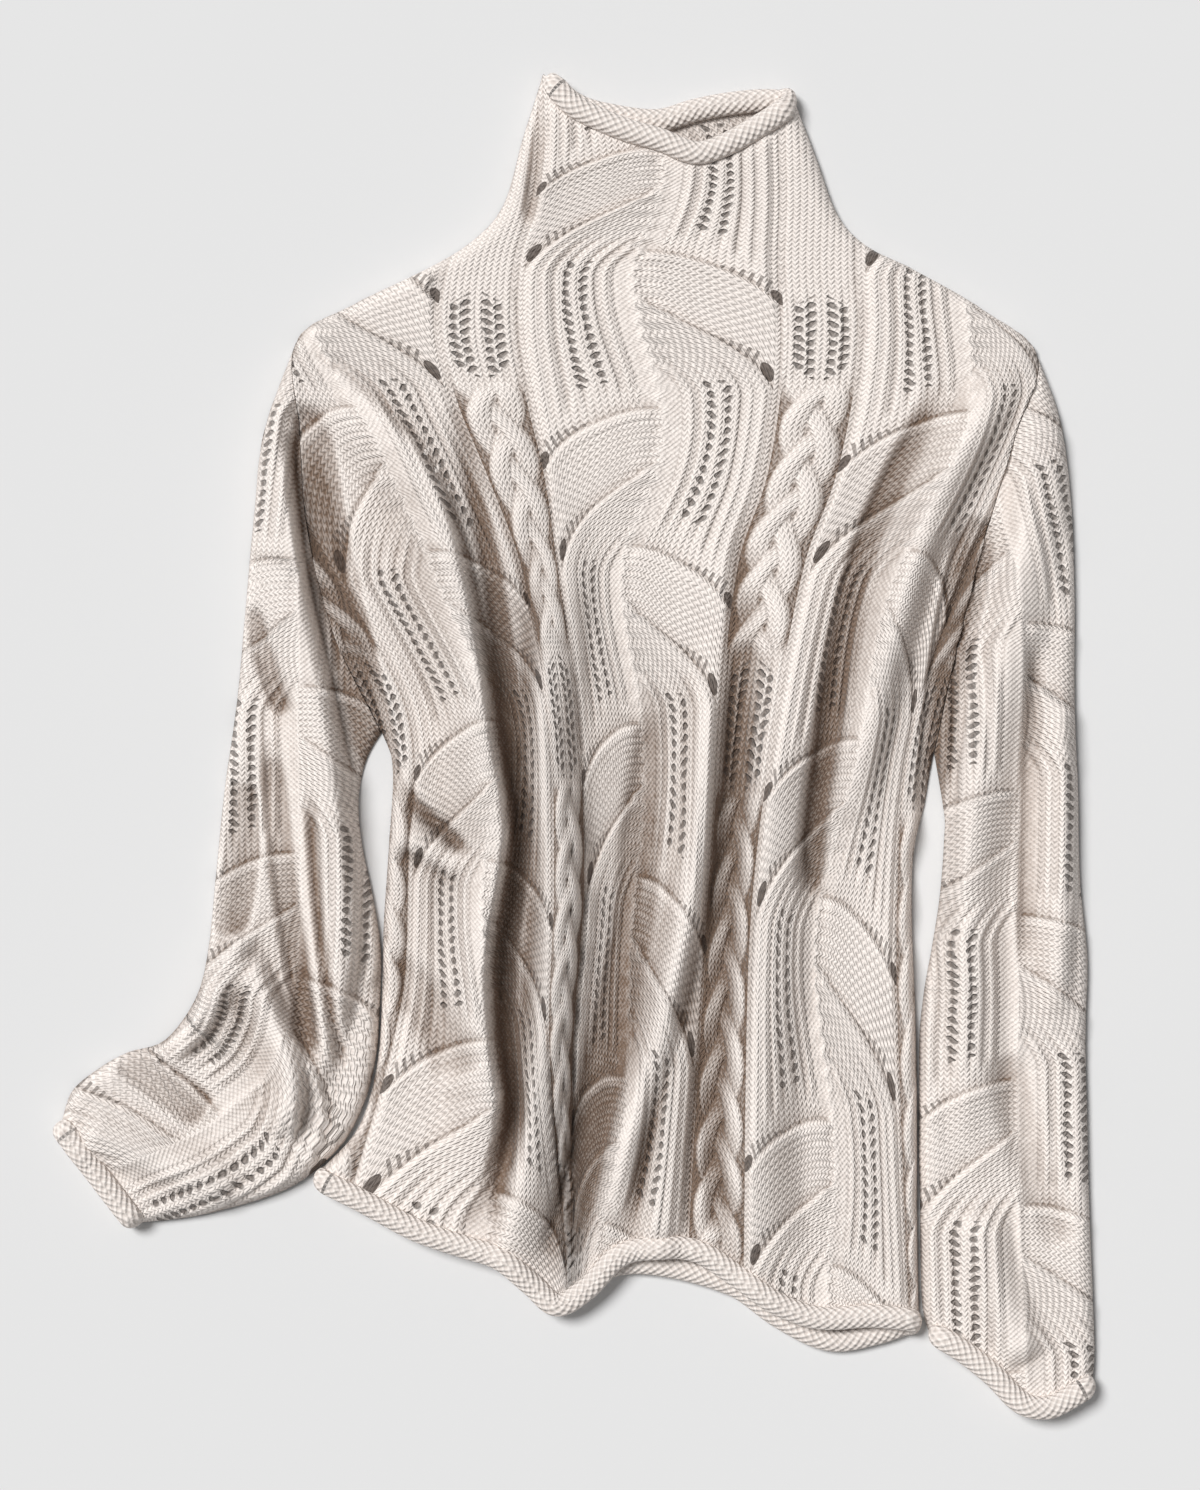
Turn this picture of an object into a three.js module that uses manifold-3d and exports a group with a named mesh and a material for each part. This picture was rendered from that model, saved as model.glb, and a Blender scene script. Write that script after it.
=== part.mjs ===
// A cable knit sweater with a funnel neck, laid face up on a flat surface.
// Millimetres. +X runs to the right hand side seen from above, +Y towards the neck, +Z up.
// Left and right are as seen from above, with the neck away from the viewer.
import * as THREE from 'three';
import { mergeVertices } from 'three/addons/utils/BufferGeometryUtils.js';
import Module from 'manifold-3d';

const { abs, ceil, cos, floor, hypot, max, min, PI, sin, sqrt } = Math;
const { lerp, smoothstep } = THREE.MathUtils;

// Driving dimensions
const clothThickness = 2.4;
const hiddenLayerThickness = 2.2;
const seamGap = 0.4;
const restHeight = 12.2; // outer face of the upper layer where no fold lifts it
const lowestOuter = 5.6; // outer face at the bottom of the deepest troughs
const lowestOuterAtEnds = 12;
const troughSoftness = 2; // how gently a trough settles to its lowest height
const endReach = 40; // distance over which the troughs run out towards an open end
const edgeRadius = 10; // the rounded turn of the cloth at a side edge
const rimHeight = 1.2;
const lowestInner = 2.6;
const layerInset = 12; // how far a hidden layer stays inside a rounded edge
const rollRadius = 4.5;
const lowestUpperRoll = 13.9; // middle of the upper roll, which lies on the lower one
const rollGap = 0.8;
const turnReach = 2.3; // radii from a side edge to where the roll turns round to its other run
const eyelet = { length: 8, width: 5 };
const reliefHeight = { leaf: 2.8, ladder: 2.2, cable: 3.2 };
const cablePitch = 27;
const origin = { x: -0.11, y: 4.17 }; // middle of the laid garment

// Columns of a section: left edge x and y, right edge x and y, from the hem to the neck
const bodySections = [
  [-143, -238, 191, -317],
  [-120, -214, 190, -262],
  [-109, -180, 190, -205],
  [-106, -140, 189, -150],
  [-105, -100, 187, -95],
  [-102, -55, 188, -60],
  [-100, -15, 194, -33],
  [-106, 6, 199, -5],
  [-132, 60, 212, 55],
  [-147, 120, 227, 115],
  [-151, 175, 243, 170],
  [-153, 222, 256, 214],
  [-121, 243, 226, 240],
  [-82, 262, 188, 262],
  [-57, 277, 162, 275],
  [-39, 297, 146, 292],
  [-28, 332, 134, 324],
  [-17, 362, 123, 353],
];
const underarm = 7 / 17;
const shoulder = 11 / 17;

// Columns of a sleeve section: outer edge x and y, inner edge x and y, from armhole to cuff.
// The first section is the armhole itself and is taken from the body.
const leftSleeveSections = [
  [-171, 172, -113, -5],
  [-177, 123, -117, -17],
  [-182, 68, -119, -34],
  [-186, 24, -117, -56],
  [-193, -26, -114, -85],
  [-198, -75, -111, -114],
  [-202, -114, -111, -147],
  [-209, -141, -113, -174],
  [-226, -164, -120, -202],
  [-247, -171, -134, -224],
  [-263, -180, -161, -243],
  [-277, -192, -203, -259],
  [-283, -209, -240, -265],
];
const rightSleeveSections = [
  [269, 178, 205, -39],
  [275, 134, 205, -52],
  [277, 79, 204, -69],
  [277, 24, 202, -89],
  [279, -26, 199, -114],
  [280, -75, 197, -136],
  [284, -119, 195, -160],
  [283, -163, 194, -191],
  [284, -207, 194, -224],
  [285, -251, 194, -257],
  [287, -301, 195, -290],
  [288, -334, 196, -312],
  [287, -350, 197, -324],
];

// Columns of an end line: share of the width from left to right, offset along the cloth
const frontHem = [
  [0, 0], [0.08, -7], [0.17, -16], [0.25, -19], [0.31, -21], [0.36, -31], [0.4, -39], [0.45, -26],
  [0.5, -5], [0.55, 4], [0.63, 9], [0.7, 0], [0.76, -9], [0.83, -12], [0.92, -4], [1, 0],
];
const backHem = [
  [0, 0], [0.17, -16], [0.31, -19], [0.41, -22], [0.54, -6], [0.69, -6], [0.77, -18], [0.85, -24],
  [0.93, -14], [1, 0],
];
const frontNeck = [
  [0, 0], [0.13, -14], [0.31, -21], [0.46, -26], [0.6, -32], [0.71, -27], [0.86, -14], [1, 0],
];
const backNeck = [[0, 0], [0.23, -12], [0.45, -14], [0.6, -7], [0.74, -2], [0.89, 1], [1, 0]];
const hemReach = 0.16;
const neckReach = 0.14;
const bowReach = 0.3; // share of a sleeve over which its sections follow the curve of the armhole

// Each fold runs along its line; below zero it is a trough. The two widths are the distances
// from the line to the foot of the fold, on the side towards -X and on the side towards +X.
const folds = [
  {
    line: [[-130, 195], [-80, 120], [-55, 20], [-48, -60], [-58, -125], [-50, -200], [-66, -262]],
    height: 20, left: 30, right: 13,
  },
  {
    line: [[-62, 180], [-40, 101], [-33, -31], [-39, -141], [-30, -255]],
    height: -12, left: 11, right: 11,
  },
  {
    line: [[-8, 90], [-3, -30], [-3, -120], [-20, -220], [-30, -285]],
    height: 15, left: 20, right: 24,
  },
  { line: [[46, 20], [44, -110], [24, -205], [0, -300]], height: -12, left: 14, right: 10 },
  {
    line: [[66, 50], [71, -60], [60, -140], [40, -215], [42, -280]],
    height: 13, left: 14, right: 14,
  },
  { line: [[95, 125], [86, -20], [78, -160], [79, -270]], height: -12, left: 9, right: 11 },
  {
    line: [[124, 90], [110, -40], [103, -140], [98, -220], [104, -295]],
    height: 14, left: 20, right: 28,
  },
  {
    line: [[200, 190], [163, 115], [146, 45], [132, -40], [130, -85]],
    height: -12, left: 11, right: 12,
  },
  { line: [[238, 205], [196, 125], [172, 50], [150, -45]], height: 14, left: 17, right: 16 },
  { line: [[-104, -62], [-82, -47], [-54, -64]], height: 6, left: 9, right: 9 },
  { line: [[-88, -24], [-66, -40], [-52, -52]], height: -7, left: 9, right: 9 },
  { line: [[-104, -138], [-78, -168], [-55, -194]], height: -6, left: 13, right: 13 },
  { line: [[-142, 165], [-128, 70], [-110, 15]], height: -7, left: 12, right: 12 },
  { line: [[232, 160], [214, 90], [204, 10]], height: -7, left: 12, right: 12 },
  {
    line: [[-158, 190], [-164, 101], [-150, 13], [-131, -70], [-128, -141], [-150, -202]],
    height: 11, left: 26, right: 18,
  },
  { line: [[-192, -40], [-186, -86], [-197, -130]], height: -8, left: 15, right: 15 },
  { line: [[-186, -135], [-166, -165], [-163, -210]], height: 8, left: 19, right: 15 },
  { line: [[-248, -184], [-216, -188], [-195, -160]], height: -8, left: 12, right: 12 },
  { line: [[-272, -212], [-233, -226], [-185, -246]], height: 6, left: 17, right: 17 },
  {
    line: [[250, 190], [258, 101], [240, 24], [226, -59], [226, -141], [221, -220]],
    height: 11, left: 20, right: 20,
  },
  { line: [[267, 30], [268, -59], [265, -150]], height: 7, left: 14, right: 12 },
  { line: [[254, 57], [250, -31], [249, -119]], height: -5, left: 9, right: 9 },
  { line: [[240, -185], [254, -229], [270, -272]], height: -8, left: 11, right: 11 },
  { line: [[222, -255], [232, -301], [250, -340]], height: 7, left: 20, right: 20 },
];
const foldSteps = 20;
const foldFade = 0.2;

// Raised knit, each row from its start to its end with its width. A leaf starts at the stem.
const motifs = [
  { kind: 'ladder', from: [83, 326], to: [89, 263], width: 40 },
  { kind: 'ladder', from: [1, 268], to: [1, 189], width: 46 },
  { kind: 'ladder', from: [73, 189], to: [74, 109], width: 34 },
  { kind: 'ladder', from: [15, 101], to: [9, 24], width: 36 },
  { kind: 'ladder', from: [67, 18], to: [70, -72], width: 28 },
  { kind: 'ladder', from: [-60, 249], to: [-58, 192], width: 40 },
  { kind: 'ladder', from: [136, 246], to: [134, 192], width: 40 },
  { kind: 'ladder', from: [190, 252], to: [180, 186], width: 38 },
  { kind: 'ladder', from: [-93, 79], to: [-73, 13], width: 30 },
  { kind: 'ladder', from: [-60, -64], to: [-95, -108], width: 30 },
  { kind: 'ladder', from: [-57, -191], to: [-101, -257], width: 36 },
  { kind: 'ladder', from: [156, 2], to: [158, -103], width: 26 },
  { kind: 'ladder', from: [107, -100], to: [105, -167], width: 26 },
  { kind: 'ladder', from: [166, -218], to: [169, -300], width: 28 },
  { kind: 'ladder', from: [-162, 120], to: [-140, -60], width: 30 },
  { kind: 'ladder', from: [-265, -205], to: [-160, -205], width: 34 },
  { kind: 'ladder', from: [236, -125], to: [226, -215], width: 28 },
  { kind: 'cable', from: [-50, 189], to: [-29, 50], width: 38 },
  { kind: 'cable', from: [125, 189], to: [116, 50], width: 38 },
  { kind: 'cable', from: [-8, -60], to: [-14, -250], width: 34 },
  { kind: 'cable', from: [258, 20], to: [262, -150], width: 26 },
  { kind: 'leaf', from: [48, 318], to: [-13, 308], width: 34 },
  { kind: 'leaf', from: [50, 292], to: [-10, 283], width: 34 },
  { kind: 'leaf', from: [38, 246], to: [102, 230], width: 34 },
  { kind: 'leaf', from: [42, 208], to: [91, 200], width: 34 },
  { kind: 'leaf', from: [44, 166], to: [-15, 157], width: 34 },
  { kind: 'leaf', from: [40, 124], to: [-9, 128], width: 32 },
  { kind: 'leaf', from: [30, 86], to: [89, 68], width: 34 },
  { kind: 'leaf', from: [36, 42], to: [80, 29], width: 34 },
  { kind: 'leaf', from: [38, -20], to: [0, -14], width: 30 },
  { kind: 'leaf', from: [200, 168], to: [156, 151], width: 34 },
  { kind: 'leaf', from: [196, 130], to: [152, 121], width: 32 },
  { kind: 'leaf', from: [-146, 200], to: [-94, 193], width: 34 },
  { kind: 'leaf', from: [-96, 150], to: [-130, 118], width: 34 },
  { kind: 'leaf', from: [-48, -44], to: [-84, -20], width: 30 },
  { kind: 'leaf', from: [132, -125], to: [164, -149], width: 32 },
  { kind: 'leaf', from: [132, -172], to: [166, -199], width: 32 },
  { kind: 'leaf', from: [134, -240], to: [92, -226], width: 34 },
  { kind: 'leaf', from: [134, -282], to: [90, -268], width: 32 },
  { kind: 'leaf', from: [-14, -128], to: [-35, -138], width: 30 },
  { kind: 'leaf', from: [8, -232], to: [-24, -240], width: 32 },
  { kind: 'leaf', from: [-152, -196], to: [-166, -156], width: 40 },
  { kind: 'leaf', from: [250, -285], to: [218, -262], width: 34 },
  { kind: 'leaf', from: [254, -322], to: [218, -306], width: 32 },
];

// A smooth curve through rows of numbers, at a share of the way along them.
function along(rows, share) {
  const place = share * (rows.length - 1);
  const k = min(floor(place), rows.length - 2);
  const t = place - k;
  const row = (i) => rows[max(0, min(rows.length - 1, i))];
  return rows[k].map((_, c) => {
    const [a, b, d, e] = [k - 1, k, k + 1, k + 2].map((i) => row(i)[c]);
    return b + 0.5 * t * (d - a + t * (2 * a - 5 * b + 4 * d - e + t * (3 * (b - d) + e - a)));
  });
}

// The offset of an end line at a share of the width.
function offsetAt(line, share) {
  const last = line.length - 1;
  const next = line.findIndex(([s]) => s > share);
  const k = next < 0 ? last - 1 : max(0, next - 1);
  const slope = (i) => {
    const [a, b] = [line[max(0, i - 1)], line[min(last, i + 1)]];
    return (b[1] - a[1]) / (b[0] - a[0]);
  };
  const [[s0, y0], [s1, y1]] = [line[k], line[k + 1]];
  const span = s1 - s0;
  const t = (share - s0) / span;
  const t2 = t * t;
  const t3 = t2 * t;
  return (2 * t3 - 3 * t2 + 1) * y0 + (t3 - 2 * t2 + t) * span * slope(k)
    + (3 * t2 - 2 * t3) * y1 + (t3 - t2) * span * slope(k + 1);
}

// A point of the body, from left to right by across and from hem to neck by up.
function bodyPoint(across, up, hem = frontHem, neck = frontNeck) {
  const [leftX, leftY, rightX, rightY] = along(bodySections, up);
  const hemShare = max(0, 1 - up / hemReach) ** 2;
  const neckShare = max(0, 1 - (1 - up) / neckReach) ** 2;
  const offset = hemShare * offsetAt(hem, across) + neckShare * offsetAt(neck, across);
  return [lerp(leftX, rightX, across), lerp(leftY, rightY, across) + offset];
}

// A point of a sleeve, from its outer to its inner edge by across and from armhole to cuff by down.
function sleevePlan(sections, side) {
  const edge = side < 0 ? 0 : 1;
  const armhole = (across) => {
    const [x, y] = bodyPoint(edge, lerp(shoulder, underarm, across));
    return [x + side * seamGap, y];
  };
  const rows = [[...armhole(0), ...armhole(1)], ...sections];
  return (across, down) => {
    const [outerX, outerY, innerX, innerY] = along(rows, down);
    const [x, y] = armhole(across);
    const [topX, topY, lowX, lowY] = rows[0];
    const bow = max(0, 1 - down / bowReach) ** 2;
    return [
      lerp(outerX, innerX, across) + bow * (x - lerp(topX, lowX, across)),
      lerp(outerY, innerY, across) + bow * (y - lerp(topY, lowY, across)),
    ];
  };
}
const leftSleevePoint = sleevePlan(leftSleeveSections, -1);
const rightSleevePoint = sleevePlan(rightSleeveSections, 1);

function sampled(point, from, to, steps) {
  return Array.from({ length: steps + 1 }, (_, i) => point(lerp(from, to, i / steps)));
}

// The edges where the cloth turns round to its other side, and the open ends.
const turnedEdges = [
  sampled((t) => bodyPoint(0, t), 0, underarm, 24),
  sampled((t) => bodyPoint(1, t), 0, underarm, 24),
  sampled((t) => bodyPoint(0, t), shoulder, 1, 24),
  sampled((t) => bodyPoint(1, t), shoulder, 1, 24),
  ...[leftSleevePoint, rightSleevePoint].flatMap(
    (point) => [0, 1].map((edge) => sampled((t) => point(edge, t), 0, 1, 42)),
  ),
];
const armholes = [
  sampled((t) => bodyPoint(0, t), underarm, shoulder, 16),
  sampled((t) => bodyPoint(1, t), underarm, shoulder, 16),
];
const openEnds = [
  sampled((t) => bodyPoint(t, 0), 0, 1, 30),
  sampled((t) => bodyPoint(t, 1), 0, 1, 16),
  sampled((t) => leftSleevePoint(t, 1), 0, 1, 2),
  sampled((t) => rightSleevePoint(t, 1), 0, 1, 2),
];

// The nearest point of a line: its distance, its share along the line, the side and the way out.
function nearestOn(line, x, y) {
  let best = { distance: Infinity };
  for (let i = 0; i + 1 < line.length; i++) {
    const [ax, ay] = line[i];
    const [dx, dy] = [line[i + 1][0] - ax, line[i + 1][1] - ay];
    const t = max(0, min(1, ((x - ax) * dx + (y - ay) * dy) / (dx * dx + dy * dy)));
    const [outX, outY] = [x - ax - t * dx, y - ay - t * dy];
    const distance = hypot(outX, outY);
    if (distance < best.distance) {
      best = { distance, share: (i + t) / (line.length - 1), side: dx * outY - dy * outX, outX, outY };
    }
  }
  return best;
}

function nearestOf(lines, x, y) {
  return lines.map((line) => nearestOn(line, x, y)).reduce((a, b) => (b.distance < a.distance ? b : a));
}

const foldLines = folds.map(({ line, ...fold }) => ({
  ...fold,
  line: sampled((t) => along(line, t), 0, 1, foldSteps),
}));

function foldHeight(x, y) {
  let total = 0;
  for (const { line, height, left, right } of foldLines) {
    const { distance, share, side } = nearestOn(line, x, y);
    const width = side < 0 ? left : right;
    if (distance < width) {
      const fade = smoothstep(min(share, 1 - share), -0.06, foldFade);
      total += height * fade * 0.5 * (1 + cos((PI * distance) / width));
    }
  }
  return total;
}

// The outer face of the upper layer, without the raised knit.
function outerHeight(x, y) {
  const toEnd = smoothstep(nearestOf(openEnds, x, y).distance, 0, endReach);
  const lowest = lerp(lowestOuterAtEnds, lowestOuter, toEnd);
  const free = restHeight + foldHeight(x, y) - lowest;
  const full = lowest + 0.5 * (free + sqrt(free * free + troughSoftness * troughSoftness));
  const inset = min(1, nearestOf(turnedEdges, x, y).distance / edgeRadius);
  return rimHeight + (full - rimHeight) * sqrt(1 - (1 - inset) ** 2);
}

const raised = {
  ladder: (t, a) => {
    const rib = (centre) => max(0, cos((PI * (a - centre)) / 0.9));
    return abs(a) < 1.2 ? max(rib(-0.72), rib(0.72)) * smoothstep(min(t, 1 - t), -0.02, 0.08) : 0;
  },
  cable: (t, a, length) => {
    const turn = (2 * PI * t * length) / cablePitch;
    const strand = 0.6 + 0.4 * cos(turn + 2.4 * a);
    return abs(a) < 1 ? cos((PI * a) / 2) * strand * smoothstep(min(t, 1 - t), -0.02, 0.08) : 0;
  },
  leaf: (t, a) => {
    const half = sqrt(max(0, sin(PI * min(1, t) ** 0.8)));
    return abs(a) < half ? cos((PI * a) / (2 * half)) * half : 0;
  },
};

function reliefAt(x, y) {
  let highest = 0;
  for (const { kind, from, to, width } of motifs) {
    const [dx, dy] = [to[0] - from[0], to[1] - from[1]];
    const length = hypot(dx, dy);
    const t = ((x - from[0]) * dx + (y - from[1]) * dy) / (length * length);
    const a = ((x - from[0]) * dy - (y - from[1]) * dx) / length / (width / 2);
    if (t <= 0 || t >= 1 || abs(a) >= 1.2) continue;
    highest = max(highest, reliefHeight[kind] * raised[kind](t, a, length));
  }
  return highest;
}

// The plain inner face under a point of the outer face.
function innerPoint(x, y, wayIn) {
  const step = 0.5;
  const z = outerHeight(x, y);
  const slopeX = (outerHeight(x + step, y) - z) / step;
  const slopeY = (outerHeight(x, y + step) - z) / step;
  const { distance, outX, outY } = nearestOf(turnedEdges, x, y);
  const reach = 1.2 * edgeRadius;
  const fromSeam = min(1, nearestOf(armholes, x, y).distance / reach);
  const shift = clothThickness * fromSeam * max(0, 1 - distance / reach);
  const [inX, inY] = distance > 0.05 ? [outX / distance, outY / distance] : wayIn;
  const floorHere = lowestInner * smoothstep(distance, 2, 6);
  const below = clothThickness * min(2, sqrt(1 + slopeX * slopeX + slopeY * slopeY));
  return [x + shift * inX, y + shift * inY, max(floorHere, z - below)];
}

// Orders the triangles so that a closed surface faces outwards.
function closedGeometry(positions, triangles) {
  const corner = (i) => new THREE.Vector3().fromArray(positions, 3 * i);
  let volume = 0;
  for (const [a, b, c] of triangles) volume += corner(a).dot(corner(b).cross(corner(c)));
  const faces = volume < 0 ? triangles.map(([a, b, c]) => [a, c, b]) : triangles;
  const geometry = new THREE.BufferGeometry();
  geometry.setAttribute('position', new THREE.Float32BufferAttribute(positions, 3));
  geometry.setIndex(faces.flat());
  return geometry;
}

// A wall of cloth over a plan: a fine outer face, and a plain inner face at every second point.
// A crowding above zero draws the columns towards the two side edges.
function columnShare(i, { columns, crowding }) {
  return i / columns - crowding * sin((2 * PI * i) / columns);
}

function clothWall(point, form) {
  const { columns, rows } = form;
  const positions = [];
  const add = (p) => positions.push(...p) / 3 - 1;
  const plan = (i, j) => point(columnShare(i, form), j / rows);
  const grid = (stepSize, make) => Array.from({ length: columns / stepSize + 1 }, (_, i) =>
    Array.from({ length: rows / stepSize + 1 }, (__, j) => make(i * stepSize, j * stepSize)));

  const height = grid(1, (i, j) => outerHeight(...plan(i, j)));
  const wayIn = (i, j) => {
    const [ax, ay] = plan(i, max(0, j - 1));
    const [bx, by] = plan(i, min(rows, j + 1));
    const [cx, cy] = plan(columns / 2, j);
    const [x, y] = plan(i, j);
    const length = hypot(bx - ax, by - ay);
    const [nx, ny] = [(by - ay) / length, (ax - bx) / length];
    const turn = nx * (cx - x) + ny * (cy - y) < 0 ? -1 : 1;
    return [turn * nx, turn * ny];
  };
  const inner = grid(2, (i, j) => innerPoint(...plan(i, j), wayIn(i, j)));

  // The inner face is let down where it would come too close under the outer one.
  const thinnest = clothThickness / 2;
  for (let i = 0; i <= columns; i++) {
    for (let j = 0; j <= rows; j++) {
      const corners = [floor(i / 2), ceil(i / 2)].flatMap(
        (a) => [floor(j / 2), ceil(j / 2)].map((b) => inner[a][b]),
      );
      const level = corners.reduce((sum, corner) => sum + corner[2], 0) / 4;
      const excess = level - (height[i][j] - thinnest);
      if (excess <= 0) continue;
      for (const corner of corners) {
        corner[2] = max(min(corner[2], lowestInner), corner[2] - excess);
      }
    }
  }

  const outerIds = grid(1, (i, j) => {
    const [x, y] = plan(i, j);
    const edge = i === 0 || i === columns;
    return add([x, y, height[i][j] + (edge ? 0 : reliefAt(x, y))]);
  });
  const innerIds = inner.map((column) => column.map(add));
  const triangles = [];
  const face = (ids, up) => {
    for (let i = 0; i + 1 < ids.length; i++) {
      for (let j = 0; j + 1 < ids[0].length; j++) {
        const [a, b, c, d] = [ids[i][j], ids[i + 1][j], ids[i + 1][j + 1], ids[i][j + 1]];
        triangles.push(...(up ? [[a, b, c], [a, c, d]] : [[a, c, b], [a, d, c]]));
      }
    }
  };
  face(outerIds, true);
  face(innerIds, false);

  const rim = (ids) => {
    const [n, m] = [ids.length - 1, ids[0].length - 1];
    return [
      ...Array.from({ length: n }, (_, i) => ids[i][0]),
      ...Array.from({ length: m }, (_, j) => ids[n][j]),
      ...Array.from({ length: n }, (_, i) => ids[n - i][m]),
      ...Array.from({ length: m }, (_, j) => ids[0][m - j]),
    ];
  };
  const [outerRim, innerRim] = [rim(outerIds), rim(innerIds)];
  innerRim.forEach((i0, k) => {
    const i2 = innerRim[(k + 1) % innerRim.length];
    const [o0, o1, o2] = [0, 1, 2].map((s) => outerRim[(2 * k + s) % outerRim.length]);
    triangles.push([o0, i0, o1], [i0, i2, o1], [o1, i2, o2]);
  });
  return closedGeometry(positions, triangles);
}

// A hidden layer flat on the surface, from an outline that keeps clear of the turned edges.
function hiddenLayer(outline) {
  const kept = outline.filter(([x, y]) => nearestOf(turnedEdges, x, y).distance > layerInset - 0.1);
  const shape = new THREE.Shape(kept.map(([x, y]) => new THREE.Vector2(x, y)));
  return new THREE.ExtrudeGeometry(shape, { depth: hiddenLayerThickness, bevelEnabled: false });
}

// A line moved sideways; a positive distance moves it to the left of its own direction.
function moved(line, distanceAt) {
  const last = line.length - 1;
  const normalOf = (i) => {
    const [[ax, ay], [bx, by]] = [line[i], line[i + 1]];
    const length = hypot(bx - ax, by - ay);
    return [(ay - by) / length, (bx - ax) / length];
  };
  return line.map(([x, y], i) => {
    const [[ax, ay], [bx, by]] = [normalOf(max(0, i - 1)), normalOf(min(last - 1, i))];
    const length = hypot(ax + bx, ay + by);
    const [mx, my] = [(ax + bx) / length, (ay + by) / length];
    const distance = distanceAt(i / last) / max(0.5, mx * ax + my * ay);
    return [x + distance * mx, y + distance * my];
  });
}

function backOutline(point) {
  const steps = 44;
  const side = (edge) => sampled((up) => {
    const onSeam = up > underarm && up < shoulder;
    const [x, y] = point(edge, up);
    const clear = nearestOf(turnedEdges, x, y).distance >= layerInset;
    return onSeam && clear ? [x + (edge === 0 ? 1 : -1) * (seamGap / 2), y] : clearPoint(point, edge, up);
  }, 0, 1, steps);
  const hem = sampled((t) => point(t, 0), 0, 1, steps);
  const neck = sampled((t) => point(t, 1), 0, 1, 20);
  return [...hem, ...side(1).slice(1, -1), ...neck.reverse(), ...side(0).slice(1, -1).reverse()];
}

// The first point of a section, going in from one edge, that is clear of every turned edge.
function clearPoint(point, edge, share) {
  const stepShare = 0.01;
  for (let s = 0; s < 0.5; s += stepShare) {
    const spot = point(edge === 0 ? s : 1 - s, share);
    if (nearestOf(turnedEdges, ...spot).distance >= layerInset) return spot;
  }
  return point(0.5, share);
}

function sleeveOutline(point, side) {
  const steps = 30;
  const outer = sampled((t) => clearPoint(point, 0, t), 0, 1, steps);
  const inner = sampled((t) => clearPoint(point, 1, t), 0, 1, steps);
  const armhole = sampled((t) => point(t, 0), 0, 1, 16)
    .map(([x, y]) => [x + (side * seamGap) / 2, y])
    .filter(([x, y]) => nearestOf(turnedEdges, x, y).distance > 2 * layerInset);
  const cuff = sampled((t) => point(t, 1), 0, 1, 12);
  return [...armhole, ...inner.slice(1, -1), ...cuff.reverse(), ...outer.slice(1, -1).reverse()];
}

// A rolled edge round an open end: an upper run, a turn, a lower run and a turn back.
// Its points stand at the columns of the wall that it finishes, every so many of them.
function rolledEdge(upperEnd, lowerEnd, inside, form, every) {
  const width = hypot(upperEnd(1)[0] - upperEnd(0)[0], upperEnd(1)[1] - upperEnd(0)[1]);
  const margin = (turnReach * rollRadius) / width;
  const shares = Array.from({ length: form.columns / every + 1 }, (_, i) => columnShare(i * every, form));
  const inner = shares.filter((share) => min(share, 1 - share) > 1.3 * margin);
  const stops = [margin, ...inner, 1 - margin];
  const steps = stops.length - 1;
  const away = rollRadius + rollGap;
  const run = (end, heightAt) => {
    const line = stops.map(end);
    const [cx, cy] = inside;
    const [mx, my] = line[floor(steps / 2)];
    const [dx, dy] = [line[steps][0] - line[0][0], line[steps][1] - line[0][1]];
    const turn = dx * (cy - my) - dy * (cx - mx) > 0 ? -1 : 1;
    const shifted = moved(line, () => turn * away);
    return shifted.map(([x, y], i) => new THREE.Vector3(x, y, heightAt(...line[i])));
  };
  const upper = run(upperEnd, (x, y) => max(lowestUpperRoll, outerHeight(x, y) - clothThickness / 2));
  const lower = run(lowerEnd, () => rollRadius).reverse();
  const turnPoints = (from, to, before) => {
    const middle = from.clone().lerp(to, 0.5);
    const reach = from.clone().sub(before).setZ(0).normalize().multiplyScalar((from.z - to.z) / 2);
    return [0.25, 0.5, 0.75].map((t) => {
      const spot = middle.clone().addScaledVector(reach, sin(PI * t) * (from.z > to.z ? 1 : -1));
      return spot.setZ(middle.z + ((from.z - to.z) / 2) * cos(PI * t));
    });
  };
  const path = [
    ...upper, ...turnPoints(upper[steps], lower[0], upper[steps - 1]),
    ...lower, ...turnPoints(lower[steps], upper[0], lower[steps - 1]),
  ];
  const outward = new THREE.Vector3(...upperEnd(0.5), 0).sub(new THREE.Vector3(...inside, 0));
  const sides = 7;
  const positions = [];
  path.forEach((centre, i) => {
    const [before, after] = [path.length - 1, 1].map((step) => path[(i + step) % path.length]);
    const tangent = after.clone().sub(before).normalize();
    const across = outward.clone().addScaledVector(tangent, -outward.dot(tangent)).normalize();
    const up = tangent.clone().cross(across);
    for (let s = 0; s < sides; s++) {
      const angle = (2 * PI * (s + 0.5)) / sides;
      const spot = centre.clone().addScaledVector(up, rollRadius * cos(angle));
      spot.addScaledVector(across, rollRadius * sin(angle));
      positions.push(spot.x, spot.y, max(0, spot.z));
    }
  });
  const triangles = [];
  for (let i = 0; i < path.length; i++) {
    for (let s = 0; s < sides; s++) {
      const [a, b] = [i * sides + s, i * sides + ((s + 1) % sides)];
      const next = ((i + 1) % path.length) * sides;
      const [c, d] = [next + ((s + 1) % sides), next + s];
      triangles.push([a, b, c], [a, c, d]);
    }
  }
  return closedGeometry(positions, triangles);
}

// Cuts the large eyelet at the tip of each leaf through a wall.
const wasm = await Module();
wasm.setup();

function toManifold(geometry) {
  const bare = geometry.clone();
  bare.deleteAttribute('normal');
  bare.deleteAttribute('uv');
  const merged = mergeVertices(bare, 1e-4);
  return new wasm.Manifold(new wasm.Mesh({
    numProp: 3,
    vertProperties: new Float32Array(merged.attributes.position.array),
    triVerts: new Uint32Array(merged.index.array),
  }));
}

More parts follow.
